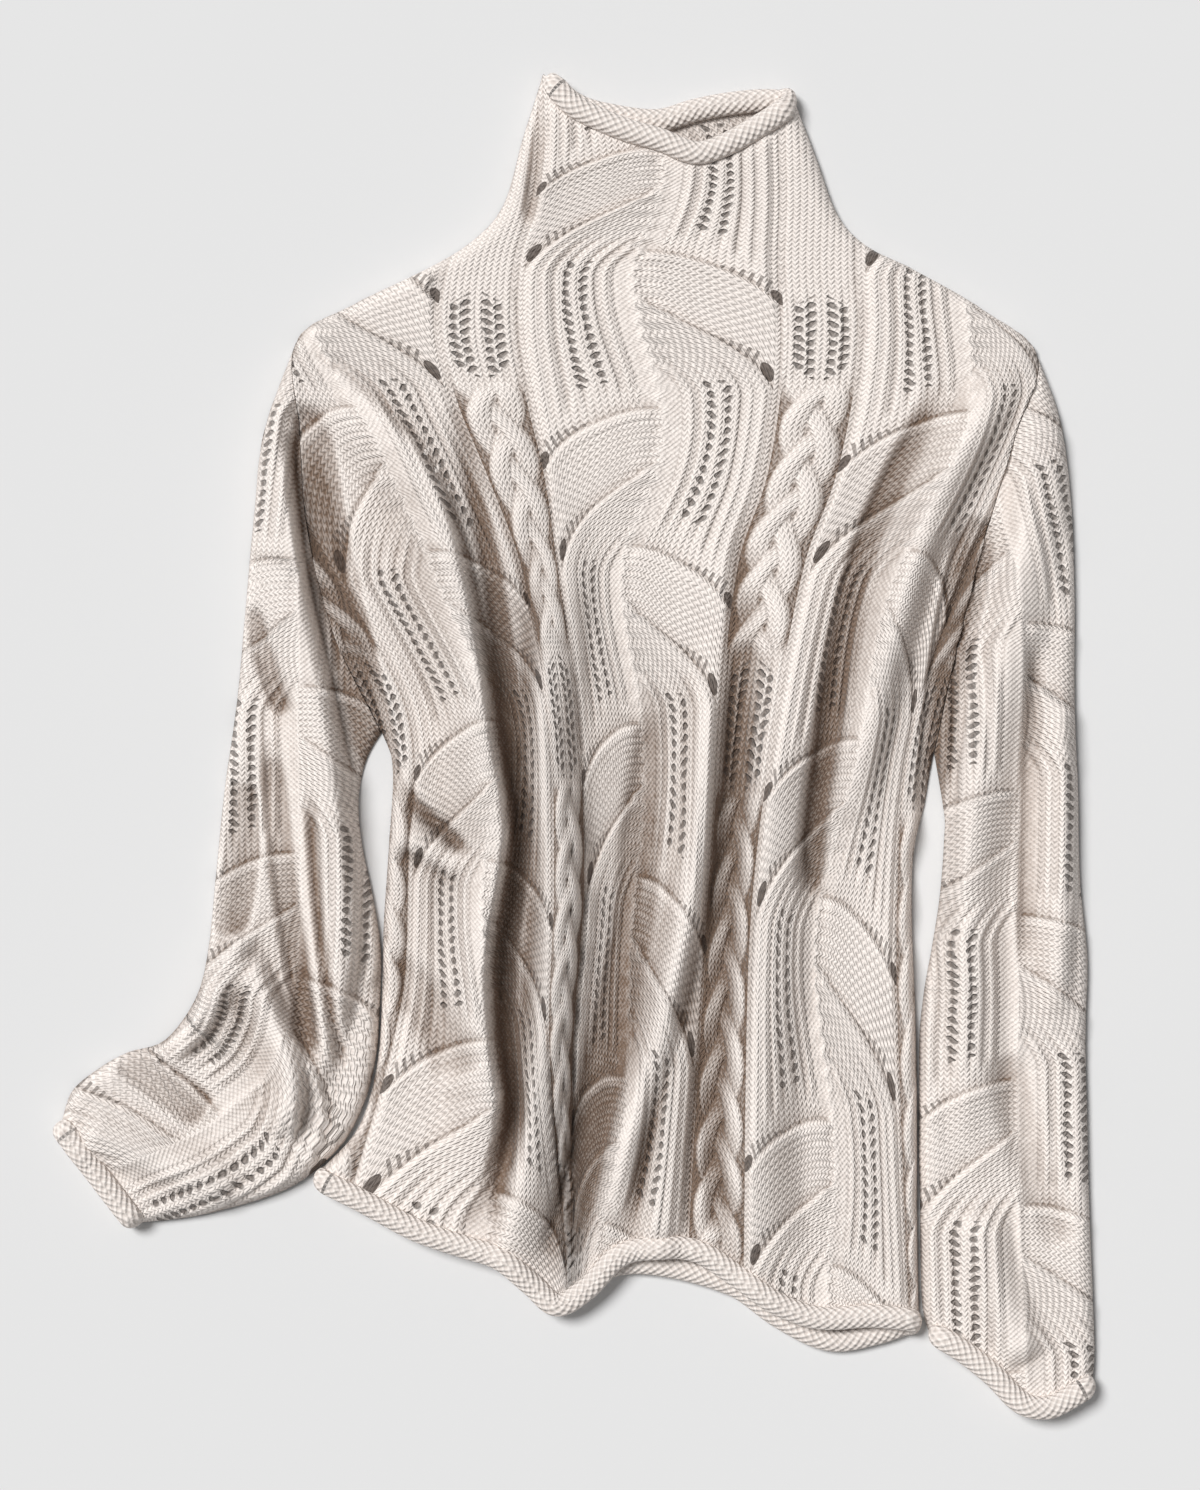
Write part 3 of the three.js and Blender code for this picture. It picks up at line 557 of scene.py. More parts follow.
class BodyChart:
    """The chart of the front: leaf panels on three stems, with cable panels between them."""

    ROUNDS = np.array([-0.3, 0.0, 0.25, 0.5, 0.75, 1.0, 1.25, 1.5, 2.0, 2.5, 3.0, 3.6])
    ROW_HEIGHTS = np.array([
        [381, 381, 381], [326, 332, 326], [291, 299, 291], [263, 265, 258], [227, 227, 223],
        [189, 189, 185], [142, 146, 139], [93, 101, 93], [16, 16, 2], [-67, -81, -100],
        [-147, -177, -215], [-270, -290, -328],
    ], float)
    """Y of each round at the left, the middle and the right."""
    STEMS = np.array([-3.0, -2.0, 0.0, 2.0, 3.0])
    STEM_PLACES = np.array([
        [-166, -103, 41, 222, 281], [-166, -103, 43, 222, 281], [-176, -113, 43, 222, 281],
        [-194, -132, 40, 221, 280], [-200, -139, 42, 221, 279], [-188, -126, 43, 214, 268],
        [-175, -102, 41, 200, 246], [-150, -73, 32, 182, 226], [-104, -46, 34, 155, 194],
        [-104, -45, 37, 138, 189], [-111, -45, 27, 139, 192], [-156, -40, 15, 145, 196],
    ], float)
    """X of each stem for each round."""
    MIDDLE_STEM = 40.0
    PANEL_WIDTH = 72.0
    """About where the middle stem runs, and how wide a panel lies: the first guess for a place."""
    CABLES = ((0.92, 1.82), (2.18, 4.2))
    LADDERS = ((0.57, 0.97), (1.77, 2.25))
    """Rounds between which the panels beside the leaves hold a cable or a pair of ladders."""
    CABLE_START = 0.08
    LADDER_START = 0.11
    """Rounds over which each of them starts and ends."""
    STEM_WAVE = 6.0
    SERRATION = 1.4
    SERRATION_PITCH = 9.0
    """Millimetres that a stem swings, those of its small teeth, and from one tooth to the next."""

    def _place(self, panel: np.ndarray, turn: np.ndarray) -> Points:
        """Plan points of places in the chart.

        Args:
            panel: Panels to the right of the middle stem.
            turn: Rounds below the first row.

        Returns:
            Plan points in millimetres.
        """
        xs = through(self.ROUNDS, self.STEM_PLACES, turn)
        ys = through(self.ROUNDS, self.ROW_HEIGHTS, turn)
        slopes = np.gradient(xs, self.STEMS, axis=1)
        k = np.clip(np.searchsorted(self.STEMS, panel, "right") - 1, 0, len(self.STEMS) - 2)
        span = self.STEMS[k + 1] - self.STEMS[k]
        t = (panel - self.STEMS[k]) / span
        inside = np.clip(t, 0, 1)
        t2, t3 = inside**2, inside**3
        pick = np.arange(len(panel))
        x = (
            (2 * t3 - 3 * t2 + 1) * xs[pick, k] + (t3 - 2 * t2 + inside) * span * slopes[pick, k]
            + (3 * t2 - 2 * t3) * xs[pick, k + 1] + (t3 - t2) * span * slopes[pick, k + 1]
        )
        beyond = (t - inside) * span
        x = x + beyond * np.where(t < 0, slopes[pick, k], slopes[pick, k + 1])
        left, middle, right = ys.T
        y = (
            left * panel * (panel - 3) / 18 - middle * (panel + 3) * (panel - 3) / 9
            + right * panel * (panel + 3) / 18
        )
        return np.stack([x, y], -1)

    def read(self, spots: Points) -> Stitches:
        """The place in the chart.

        Args:
            spots: Points of the plan.

        Returns:
            The place of each point.
        """
        order = np.argsort(self.ROW_HEIGHTS[:, 1])
        turn = np.interp(spots[:, 1], self.ROW_HEIGHTS[order, 1], self.ROUNDS[order])
        panel = (spots[:, 0] - self.MIDDLE_STEM) / self.PANEL_WIDTH
        step = 0.01
        for _ in range(9):
            here = self._place(panel, turn)
            by_panel = (self._place(panel + step, turn) - here) / step
            by_turn = (self._place(panel, turn + step) - here) / step
            miss = spots - here
            det = by_panel[:, 0] * by_turn[:, 1] - by_turn[:, 0] * by_panel[:, 1]
            det = np.where(np.abs(det) < 1.0, -1.0, det)
            move_panel = (miss[:, 0] * by_turn[:, 1] - by_turn[:, 0] * miss[:, 1]) / det
            move_turn = (by_panel[:, 0] * miss[:, 1] - miss[:, 0] * by_panel[:, 1]) / det
            panel = np.clip(panel + np.clip(move_panel, -0.7, 0.7), -4.2, 4.2)
            turn = np.clip(turn + np.clip(move_turn, -0.4, 0.4), -0.6, 4.0)
        return self._finished(panel, turn)

    def _finished(self, panel: np.ndarray, turn: np.ndarray) -> Stitches:
        """Adds the waves of the stems and the masks of the cables and ladders.

        Args:
            panel: Panels to the right of the middle stem.
            turn: Rounds below the first row.

        Returns:
            The places in the chart.
        """
        across = PANEL_HALF * panel
        to_stem = np.abs(wrapped(across, PANEL_HALF))
        wave = self.STEM_WAVE * np.cos(2 * np.pi * (turn - 1.1)) * eased(to_stem, 55, 20)
        teeth = np.sin(2 * np.pi * REPEAT * turn / self.SERRATION_PITCH) * eased(to_stem, 14, 4)
        return Stitches(
            across - wave - self.SERRATION * teeth, REPEAT * turn,
            self._spans(turn, self.CABLES, self.CABLE_START),
            self._spans(turn, self.LADDERS, self.LADDER_START),
        )

    def _spans(self, turn: np.ndarray, spans: Sequence[tuple[float, float]], start: float) -> np.ndarray:
        """A mask that is 1 between pairs of rounds.

        Args:
            turn: Rounds below the first row.
            spans: The pairs of rounds.
            start: Rounds over which the mask grows and fades.

        Returns:
            Numbers from 0 to 1.
        """
        return sum(eased(turn, a, a + start) * eased(turn, b, b - start) for a, b in spans)


@dataclass(frozen=True)
class SleeveChart:
    """The chart of a sleeve: leaf panels on a stem that runs down its middle.

    Args:
        sleeve: Its plan.
        stem: Share of the width, from the outer edge, where the stem runs.
        start: Millimetres of knit at the armhole.
    """

    BEFORE: ClassVar[float] = 140.0
    """Millimetres that the stem's line runs on, straight, past the armhole."""

    sleeve: Sleeve
    stem: float
    start: float

    def read(self, spots: Points) -> Stitches:
        """The place in the chart.

        Args:
            spots: Points of the plan.

        Returns:
            The place of each point.
        """
        line = line_of(self.sleeve.point, self.stem, np.linspace(0.04, 1, 61))
        ahead = (line[0] - line[3]) / np.hypot(*(line[0] - line[3]))
        line = np.vstack([line[0] + self.BEFORE * ahead, line])
        steps = np.hypot(*np.diff(line, axis=0).T)
        length = np.concatenate([[0], np.cumsum(steps)]) - self.BEFORE
        gap, share, side = nearest(line, spots)
        down = self.start + np.interp(share, np.linspace(0, 1, len(line)), length)
        across = np.where(side > 0, gap, -gap)
        none = np.zeros(len(spots))
        return Stitches(across, down, none, none)


def wrapped(value: np.ndarray, half: float) -> np.ndarray:
    """The value brought between -half and half by whole repeats."""
    return (value + half) % (2 * half) - half


@dataclass(frozen=True)
class Knit:
    """The raised knit of the chart, as far as the mesh carries it, in millimetres.

    Args:
        leaf: How high a leaf stands at its upper edge.
        first_slope: How far below that edge the first leaf has sunk to about a third.
        second_slope: The same for the second leaf.
        cord: How much higher the cord along the edge stands.
        tuck: How far the knit above a leaf goes down at its edge.
        rib: Half the height from a groove to a rib beside the ladders.
        stem: How high a stem stands.
        groove: How deep the groove beside a panel is.
        border: The ribs on both sides of the ladders between the panels.
        bar: The knit between those ladders.
    """

    leaf: float = 3.0
    first_slope: float = 13.0
    second_slope: float = 11.0
    cord: float = 0.8
    tuck: float = 0.9
    rib: float = 0.8
    stem: float = 1.5
    groove: float = 1.1
    border: float = 0.8
    bar: float = 1.0

    def relief(self, place: Stitches) -> np.ndarray:
        """How far the knit stands up.

        Args:
            place: Places in the chart.

        Returns:
            Millimetres for each place.
        """
        signed = wrapped(place.across, PANEL_HALF)
        out = np.abs(signed)
        start = np.where(signed > 0, RIGHT_LEAF_START, LEFT_LEAF_START)
        drop = FIRST_DROP * (out / FIRST_REACH) ** FIRST_BEND
        below_first = (place.down - start - drop) % REPEAT
        fall = below_first + drop - SECOND_START
        far = out + PANEL_EDGE * np.clip(1 - np.maximum(fall, 0) / SECOND_FALL, 0, 1) ** SECOND_BEND
        in_panel = eased(out, PANEL_EDGE + 2, PANEL_EDGE - 1)
        second = eased(far, PANEL_EDGE + 1, PANEL_EDGE - 1) * in_panel
        first = in_panel - second
        below_second = np.maximum(0, PANEL_EDGE - far) * SLANT
        leaf_one = first * self._leaf(below_first, self.first_slope) * eased(out, 1, 8)
        leaf_two = second * self._leaf(below_second, self.second_slope) * eased(out, 1, 7)
        tucked = self.tuck * first * eased(SLANT * (far - PANEL_EDGE), 8, 0)
        tucked = tucked + self.tuck * in_panel * eased(REPEAT - below_first, 8, 0)
        beside = np.abs(far - LADDER_MIDDLE)
        held = eased(fall, 28, 40) * eased(REPEAT - below_first, 8, 16) * eased(beside, 22, 20) * second
        ribs = held * self.rib * np.cos(2 * np.pi * (beside - 1) / RIB_PITCH)
        stem = self._cord(self.stem, out, 3.0)
        groove = self._cord(self.groove, out - GROOVE_PLACE, 2.2)
        return leaf_one + leaf_two - tucked + ribs + stem - groove + self._cable(place)

    def _cord(self, height: float, off: np.ndarray, wide: float) -> np.ndarray:
        """A soft cord of a height and width, at a distance from its middle."""
        return height * np.exp(-((off / wide) ** 2))

    def _leaf(self, below: np.ndarray, slope: float) -> np.ndarray:
        """A leaf's height at a distance below its upper edge: a cord along the edge, then a slope."""
        raised = self._cord(self.cord, below - 2.8, 2.2) + self.leaf * np.exp(-below / slope)
        return eased(below, 0, 2.2) * raised

    def _cable(self, place: Stitches) -> np.ndarray:
        """The height of the panels between the leaves: three crossing strands, or two ladders.

        Args:
            place: Places in the chart.

        Returns:
            Millimetres for each place.
        """
        from_middle = wrapped(place.across - PANEL_HALF, PANEL_HALF)
        beside = np.abs(from_middle)
        turn = 2 * np.pi * place.down / CABLE_TURN
        strands = []
        for k in range(3):
            phase = turn + 2 * np.pi * k / 3
            off = (from_middle - CABLE_SWING * np.sin(phase)) / CABLE_HALF
            rise = CABLE_LIFT + CABLE_CROSSING * np.sin(2 * phase)
            strands.append(np.clip(1 - off * off, 0, 1) ** 0.5 * rise)
        rope = np.max(strands, axis=0)
        bars = self.bar * np.cos(2 * np.pi * beside / 16) ** 2
        ladders = self._cord(self.border, beside - 16.5, 2.2) + bars
        return eased(beside, 20, 17) * (place.cable * rope + place.ladder * ladders)


KNIT = Knit()


@dataclass
class Surface:
    """A closed surface before it becomes a piece.

    Args:
        points: Corners in millimetres in the garment's plan.
        triangles: Three corners each.
        chart: Two numbers for each corner, for the piece's map.
        traits: Three numbers for each corner: cable, ladder, and the painted shade, the share of the light
            that is lost.
    """

    points: np.ndarray
    triangles: np.ndarray
    chart: np.ndarray
    traits: np.ndarray

    def area(self) -> float:
        """Its area in square metres, both faces."""
        a, b, c = (self.points[self.triangles[:, i]] for i in range(3))
        return float(np.linalg.norm(np.cross(b - a, c - a), axis=1).sum() / 2 * MM * MM)

    def outward(self) -> "Surface":
        """Turns the triangles to face out.

        Returns:
            The same surface with its triangles turned, if they faced in.
        """
        a, b, c = (self.points[self.triangles[:, i]] for i in range(3))
        if np.einsum("ij,ij->i", a, np.cross(b, c)).sum() < 0:
            self.triangles = self.triangles[:, ::-1]
        return self


def softened(field: np.ndarray, reach: int) -> np.ndarray:
    """A field of numbers averaged over its surroundings.

    Args:
        field: Numbers on a grid.
        reach: Cells on each side of one pass.

    Returns:
        The field after two passes along each direction.
    """
    made = field
    width = 2 * reach + 1
    for axis in (0, 1, 0, 1):
        pads = [(0, 0), (0, 0)]
        pads[axis] = (reach + 1, reach)
        total = np.cumsum(np.pad(made, pads, "edge"), axis=axis)
        ahead = [slice(None), slice(None)]
        behind = [slice(None), slice(None)]
        ahead[axis], behind[axis] = slice(width, None), slice(None, -width)
        made = (total[tuple(ahead)] - total[tuple(behind)]) / width
    return made


def ring_of(ids: np.ndarray) -> np.ndarray:
    """The corner numbers round a grid, in order."""
    return np.concatenate([ids[:-1, 0], ids[-1, :-1], ids[:0:-1, -1], ids[0, :0:-1]])


def grid_faces(ids: np.ndarray) -> np.ndarray:
    """Two triangles for each cell of a grid.

    Args:
        ids: The grid of corner numbers.

    Returns:
        Three corners for each triangle.
    """
    a, b, c, d = ids[:-1, :-1], ids[1:, :-1], ids[1:, 1:], ids[:-1, 1:]
    first = np.stack([a, b, c], -1).reshape(-1, 3)
    second = np.stack([a, c, d], -1).reshape(-1, 3)
    return np.vstack([first, second])


@dataclass(frozen=True)
class Shade:
    """Painted shade: the light that the cloth loses to its own relief, put into its colour.

    Args:
        least: Share that is lost everywhere.
        stitch: Share for each millimetre that a point lies below the knit close by.
        knit: Share for each millimetre below the raised knit around it.
        hidden: Share where the folds hide the whole sky.
        gather: How much that shade gathers in the deepest places.
        gain: How much the slopes of the folds are exaggerated for it.
        trough: Share that a deep trough adds.
        directions: In how many directions the folds are looked at.
        reaches: At how many millimetres they are looked at.
        limits: The smallest and the largest share.
    """

    least: float = 0.045
    stitch: float = 0.1
    knit: float = 0.055
    hidden: float = 1.35
    gather: float = 1.9
    gain: float = 2.8
    trough: float = 0.26
    directions: int = 12
    reaches: tuple[float, ...] = (4.0, 7.0, 11.0, 16.0, 22.0, 30.0, 40.0)
    limits: tuple[float, float] = (-0.1, 0.97)

    def depth(
        self, base: np.ndarray, height: np.ndarray, hollows: np.ndarray, spacing: tuple[float, float],
    ) -> np.ndarray:
        """The painted shade: how much of the light each point loses to its surroundings, as a share of the
        dark colour.

        Args:
            base: The height of the laid cloth without the raised knit.
            height: Its height with it.
            hollows: How much of a deep trough each point has.
            spacing: The size of a cell across and along.

        Returns:
            Shares from about 0 on a crest to 1 in a hollow.
        """
        near = softened(height, 2) - height
        wide = softened(height, 6) - height - softened(base, 6) + base
        hidden = np.maximum(softened(self._hidden(base, spacing), 1), 0) ** self.gather
        # Painted shade from the knit close by, the raised knit around it and the sky that the folds hide,
        # plus the painted trough shade.
        lost = self.least + self.stitch * near + self.knit * wide + self.hidden * hidden
        return np.clip(lost + self.trough * hollows, *self.limits)

    def _hidden(self, base: np.ndarray, spacing: tuple[float, float]) -> np.ndarray:
        """How much of the sky the folds hide.

        Args:
            base: The height of the laid cloth without the raised knit.
            spacing: The size of a cell across and along.

        Returns:
            Shares from 0 to 1.
        """
        lost = np.zeros_like(base)
        half_turn = self.directions / 2
        for angle in np.arange(self.directions) * math.pi / half_turn:
            horizon = np.zeros_like(base)
            for reach in self.reaches:
                i = round(math.cos(angle) * reach / spacing[0])
                j = round(math.sin(angle) * reach / spacing[1])
                rows = np.clip(np.arange(base.shape[0]) + i, 0, base.shape[0] - 1)
                columns = np.clip(np.arange(base.shape[1]) + j, 0, base.shape[1] - 1)
                horizon = np.maximum(horizon, (base[np.ix_(rows, columns)] - base) / reach)
            steep = (self.gain * horizon) ** 2
            lost += steep / (1 + steep) / self.directions
        return lost


SHADE = Shade()


@dataclass(frozen=True)
class Wall:
    """A draped wall of cloth: a fine outer face and a coarse inner one.

    Args:
        plan: Its plan.
        chart: What reads the knitting chart.
        columns: Cells across, a multiple of the ratio.
        rows: Cells along, a multiple of the ratio.
        crowding: How far the columns are drawn to the side edges.
        ratio: Cells of the outer face for one of the inner face, along each direction.
    """

    plan: Plan
    chart: BodyChart | SleeveChart
    columns: int
    rows: int
    crowding: float = 0.0
    ratio: int = 4

    def surface(self) -> Surface:
        """Builds the wall.

        Returns:
            Its closed surface.
        """
        i = np.arange(self.columns + 1) / self.columns
        shares = i - self.crowding * np.sin(2 * np.pi * i)
        across, down = np.meshgrid(shares, np.arange(self.rows + 1) / self.rows, indexing="ij")
        shape = across.shape
        spots = self.plan(across.ravel(), down.ravel())
        place = self.chart.read(spots)
        smooth = DRAPE.height(spots)
        raised = eased(nearest_of(TURNED_EDGES, spots), 0, 5) * eased(nearest_of(OPEN_ENDS, spots), 3, 13)
        base = smooth.reshape(shape)
        height = (smooth + raised * KNIT.relief(place)).reshape(shape)
        outer = np.dstack([spots.reshape(*shape, 2), height])
        inner = self._inner(outer, base)

        outer_ids = np.arange(height.size).reshape(shape)
        inner_ids = (height.size + np.arange(inner[..., 0].size)).reshape(inner.shape[:2])
        faces = [grid_faces(outer_ids), grid_faces(inner_ids)[:, ::-1], self._rim(outer_ids, inner_ids)]
        # The painted shade of the folds and the raised knit, baked as the third trait.
        hollows = DRAPE.hollows(spots).reshape(shape)
        depth = SHADE.depth(base, height, hollows, self._spacing(outer[..., :2]))
        chart = np.column_stack([place.across, place.down]) / CHART_UNIT
        traits = np.column_stack([place.cable, place.ladder, depth.ravel()])
        pick = outer_ids[::self.ratio, ::self.ratio].ravel()
        return Surface(
            np.vstack([outer.reshape(-1, 3), inner.reshape(-1, 3)]), np.vstack(faces),
            np.vstack([chart, chart[pick]]), np.vstack([traits, traits[pick]]),
        ).outward()

    def _inner(self, outer: np.ndarray, base: np.ndarray) -> np.ndarray:
        """The inner face, a cloth's thickness under the outer one.

        Args:
            outer: The grid of the outer face's corners.
            base: The height of the laid cloth without the raised knit.

        Returns:
            A coarser grid of corners.
        """
        r = self.ratio
        inner = outer[::r, ::r].copy()
        gx, gy = np.gradient(base)
        steep = np.sqrt(1 + (gx / CELL_SIZE[0]) ** 2 + (gy / CELL_SIZE[1]) ** 2)[::r, ::r]
        inner[..., 2] = base[::r, ::r] - CLOTH_THICKNESS * np.minimum(2, steep)
        inner[..., 2] = np.maximum(inner[..., 2], np.minimum(LOWEST_INNER, base[::r, ::r] - LEAST_CLOTH))
        self._let_down(inner, outer[..., 2])
        return inner

    def _spacing(self, spots: np.ndarray) -> tuple[float, float]:
        """The mean size of a cell.

        Args:
            spots: The grid of plan points.

        Returns:
            Millimetres across and along.
        """
        by_column = np.linalg.norm(np.diff(spots, axis=0), axis=-1)
        by_row = np.linalg.norm(np.diff(spots, axis=1), axis=-1)
        return float(by_column.mean()), float(by_row.mean())

    def _let_down(self, inner: np.ndarray, height: np.ndarray) -> None:
        """Lowers the inner face where it would come too close under the outer one.

        Args:
            inner: The grid of the inner face's corners, which is changed.
            height: The heights of the outer face's corners.
        """
        r = self.ratio
        excess = np.zeros((inner.shape[0] - 1, inner.shape[1] - 1))
        for a in range(r + 1):
            for b in range(r + 1):
                s, t = a / r, b / r
                z = (
                    inner[:-1, :-1, 2] * (1 - s) * (1 - t) + inner[1:, :-1, 2] * s * (1 - t)
                    + inner[:-1, 1:, 2] * (1 - s) * t + inner[1:, 1:, 2] * s * t
                )
                rows = height[a:a + r * excess.shape[0]:r, b:b + r * excess.shape[1]:r]
                excess = np.maximum(excess, z - (rows - LEAST_CLOTH))
        lower = np.zeros(inner.shape[:2])
        for part in (np.s_[:-1, :-1], np.s_[1:, :-1], np.s_[:-1, 1:], np.s_[1:, 1:]):
            lower[part] = np.maximum(lower[part], excess)
        inner[..., 2] = np.maximum(0.2, inner[..., 2] - lower)

    def _rim(self, outer_ids: np.ndarray, inner_ids: np.ndarray) -> np.ndarray:
        """Closes the gap between the two faces all round.

        Args:
            outer_ids: The grid of the outer face's corner numbers.
            inner_ids: The grid of the inner face's corner numbers.

        Returns:
            Three corners for each triangle.
        """
        outer, inner = ring_of(outer_ids), ring_of(inner_ids)
        made = []
        for k in range(len(inner)):
            i0, i1 = inner[k], inner[(k + 1) % len(inner)]
            o = [outer[(self.ratio * k + s) % len(outer)] for s in range(self.ratio + 1)]
            middle = self.ratio // 2
            made += [(o[s], i0, o[s + 1]) for s in range(middle)]
            made.append((i0, i1, o[middle]))
            made += [(o[s], i1, o[s + 1]) for s in range(middle, self.ratio)]
        return np.array(made)


@dataclass(frozen=True)
class Layer:
    """A hidden layer that lies flat on the floor, clear of the turned edges.

    Args:
        plan: Its plan.
        chart: What reads the knitting chart.
        columns: Cells across.
        rows: Cells along.
        shade: Painted shade in its colour, for the light that the layers above take from it.
    """

    plan: Plan
    chart: BodyChart | SleeveChart
    columns: int = 40
    rows: int = 90
    shade: float = 0.3

    def surface(self) -> Surface:
        """Builds the layer.

        Returns:
            Its closed surface.
        """
        down = np.arange(self.rows + 1) / self.rows
        left = self._clear(down, 0.0)
        right = 1 - self._clear(down, 1.0)
        i = np.arange(self.columns + 1)[:, None] / self.columns
        across = left[None] + (right - left)[None] * i
        spots = self.plan(across.ravel(), np.broadcast_to(down, across.shape).ravel())
        place = self.chart.read(spots)
        ids = np.arange(len(spots)).reshape(across.shape)
        under = ids + len(spots)
        top = np.column_stack([spots, np.full(len(spots), HIDDEN_LAYER_THICKNESS)])
        low = np.column_stack([spots, np.zeros(len(spots))])
        rim_a, rim_b = ring_of(ids), ring_of(under)
        after_a, after_b = np.roll(rim_a, -1), np.roll(rim_b, -1)
        side = [np.column_stack([rim_a, rim_b, after_a]), np.column_stack([after_a, rim_b, after_b])]
        chart = np.column_stack([place.across, place.down]) / CHART_UNIT
        # The third trait paints the shade under the layers above.
        traits = np.column_stack([place.cable, place.ladder, np.full(len(spots), self.shade)])
        return Surface(
            np.vstack([top, low]), np.vstack([grid_faces(ids), grid_faces(under)[:, ::-1], *side]),
            np.vstack([chart, chart]), np.vstack([traits, traits]),
        ).outward()

    def _clear(self, down: np.ndarray, edge: float) -> np.ndarray:
        """How far in from an edge the layer starts.

        Args:
            down: Shares of the way along the plan, one for each row.
            edge: 0 for the left or outer edge, 1 for the other one.

        Returns:
            For each row, the first share in from that edge that is clear of every turned edge.
        """
        found = np.full(len(down), 0.45)
        for share in np.arange(0.44, -0.001, -0.01):
            at = share if edge == 0 else 1 - share
            spots = self.plan(np.full(len(down), at), down)
            clear = nearest_of(TURNED_EDGES, spots) >= LAYER_INSET
            found = np.where(clear, share, found)
        return np.array([found[max(0, k - 1):k + 2].max() for k in range(len(found))])


@dataclass(frozen=True)
class Roll:
    """The edge of the cloth rolled outwards round an open end, as one closed ring.

    Args:
        upper: The end of the upper layer.
        lower: The end of the lower layer.
        inside: A point inside the garment.
        wide: Half the visible width.
        tall: Half the height.
        steps: Places along one run.
        sides: Corners of a section.
        lift: The lowest height of its middle line on the upper layer.
        room: Half widths that its turns at the two ends need.
    """

    upper: Callable[[np.ndarray], Points]
    lower: Callable[[np.ndarray], Points]
    inside: tuple[float, float]
    wide: float = 6.4
    tall: float = 4.6
    steps: int = 240
    sides: int = 20
    lift: float = 13.9
    room: float = 1.35

    def _path(self) -> np.ndarray:
        """The ring's middle line: along the upper layer's end, a turn, back along the lower one's, a turn.

        Returns:
            Its points in order.
        """
        width = float(np.hypot(*(self.upper(np.ones(1))[0] - self.upper(np.zeros(1))[0])))
        margin = self.room * self.wide / width
        shares = np.linspace(margin, 1 - margin, self.steps + 1)
        top, low = self.upper(shares), self.lower(shares)
        lift = np.maximum(self.lift, DRAPE.height(top) + 1.0)
        upper = np.column_stack([self._softened(top), self._softened(lift[:, None])[:, 0]])
        lower = np.column_stack([self._softened(low), np.full(len(low), self.tall)])[::-1]
        first, last = self._turn(upper[-1], lower[0], upper[-2]), self._turn(lower[-1], upper[0], lower[-2])
        return np.vstack([upper, first, lower, last])

    def _softened(self, line: np.ndarray) -> np.ndarray:
        """Smooths out the small bends of a line.

        Args:
            line: Its points in order.

        Returns:
            The smoother line.
        """
        made = line.copy()
        for _ in range(6):
            made[1:-1] = 0.5 * made[1:-1] + 0.25 * (made[:-2] + made[2:])
        return made

    def _turn(self, start: np.ndarray, end: np.ndarray, before: np.ndarray) -> np.ndarray:
        """A half turn from one layer to the other.

        Args:
            start: Where it starts.
            end: Where it ends.
            before: The place before the start, which gives its direction.

        Returns:
            The places between the start and the end.
        """
        angle = np.linspace(0, np.pi, 14)[1:-1]
        way = (start - before) * np.array([1, 1, 0])
        way /= max(np.linalg.norm(way), 1e-9)
        middle, half = (start + end) / 2, (start - end) / 2
        return middle + np.cos(angle)[:, None] * half + np.sin(angle)[:, None] * way * abs(half[2])

    def surface(self) -> Surface:
        """Builds the ring.

        Returns:
            Its closed surface.
        """
        path = self._path()
        after, before = np.roll(path, -1, 0), np.roll(path, 1, 0)
        tangent = after - before
        tangent /= np.linalg.norm(tangent, axis=1)[:, None]
        outward = np.append(self.upper(np.full(1, 0.5))[0] - np.array(self.inside), 0.0)
        across = outward - (tangent @ outward)[:, None] * tangent
        across /= np.linalg.norm(across, axis=1)[:, None]
        up = np.cross(tangent, across)
        angle = 2 * np.pi * np.arange(self.sides) / self.sides
        ring = (
            path[:, None] + np.cos(angle)[None, :, None] * self.tall * up[:, None]
            + np.sin(angle)[None, :, None] * self.wide * across[:, None]
        )
        ring[..., 2] = np.maximum(ring[..., 2], 0)
        length = np.concatenate([[0], np.cumsum(np.linalg.norm(np.diff(path, axis=0), axis=1))])
        n, m = ring.shape[:2]
        ids = np.arange(n * m).reshape(n, m)
        closed = np.vstack([ids, ids[:1]])
        closed = np.hstack([closed, closed[:, :1]])
        around = np.broadcast_to(angle / (2 * np.pi), (n, m)).ravel()
        girth = np.pi * (self.wide + self.tall)
        folded = 1 - np.abs(2 * around - 1)
        chart = np.column_stack([np.repeat(length, m), folded * girth / 2]) / CHART_UNIT
        traits = np.zeros((n * m, 3))
        return Surface(ring.reshape(-1, 3), grid_faces(closed), chart, traits).outward()


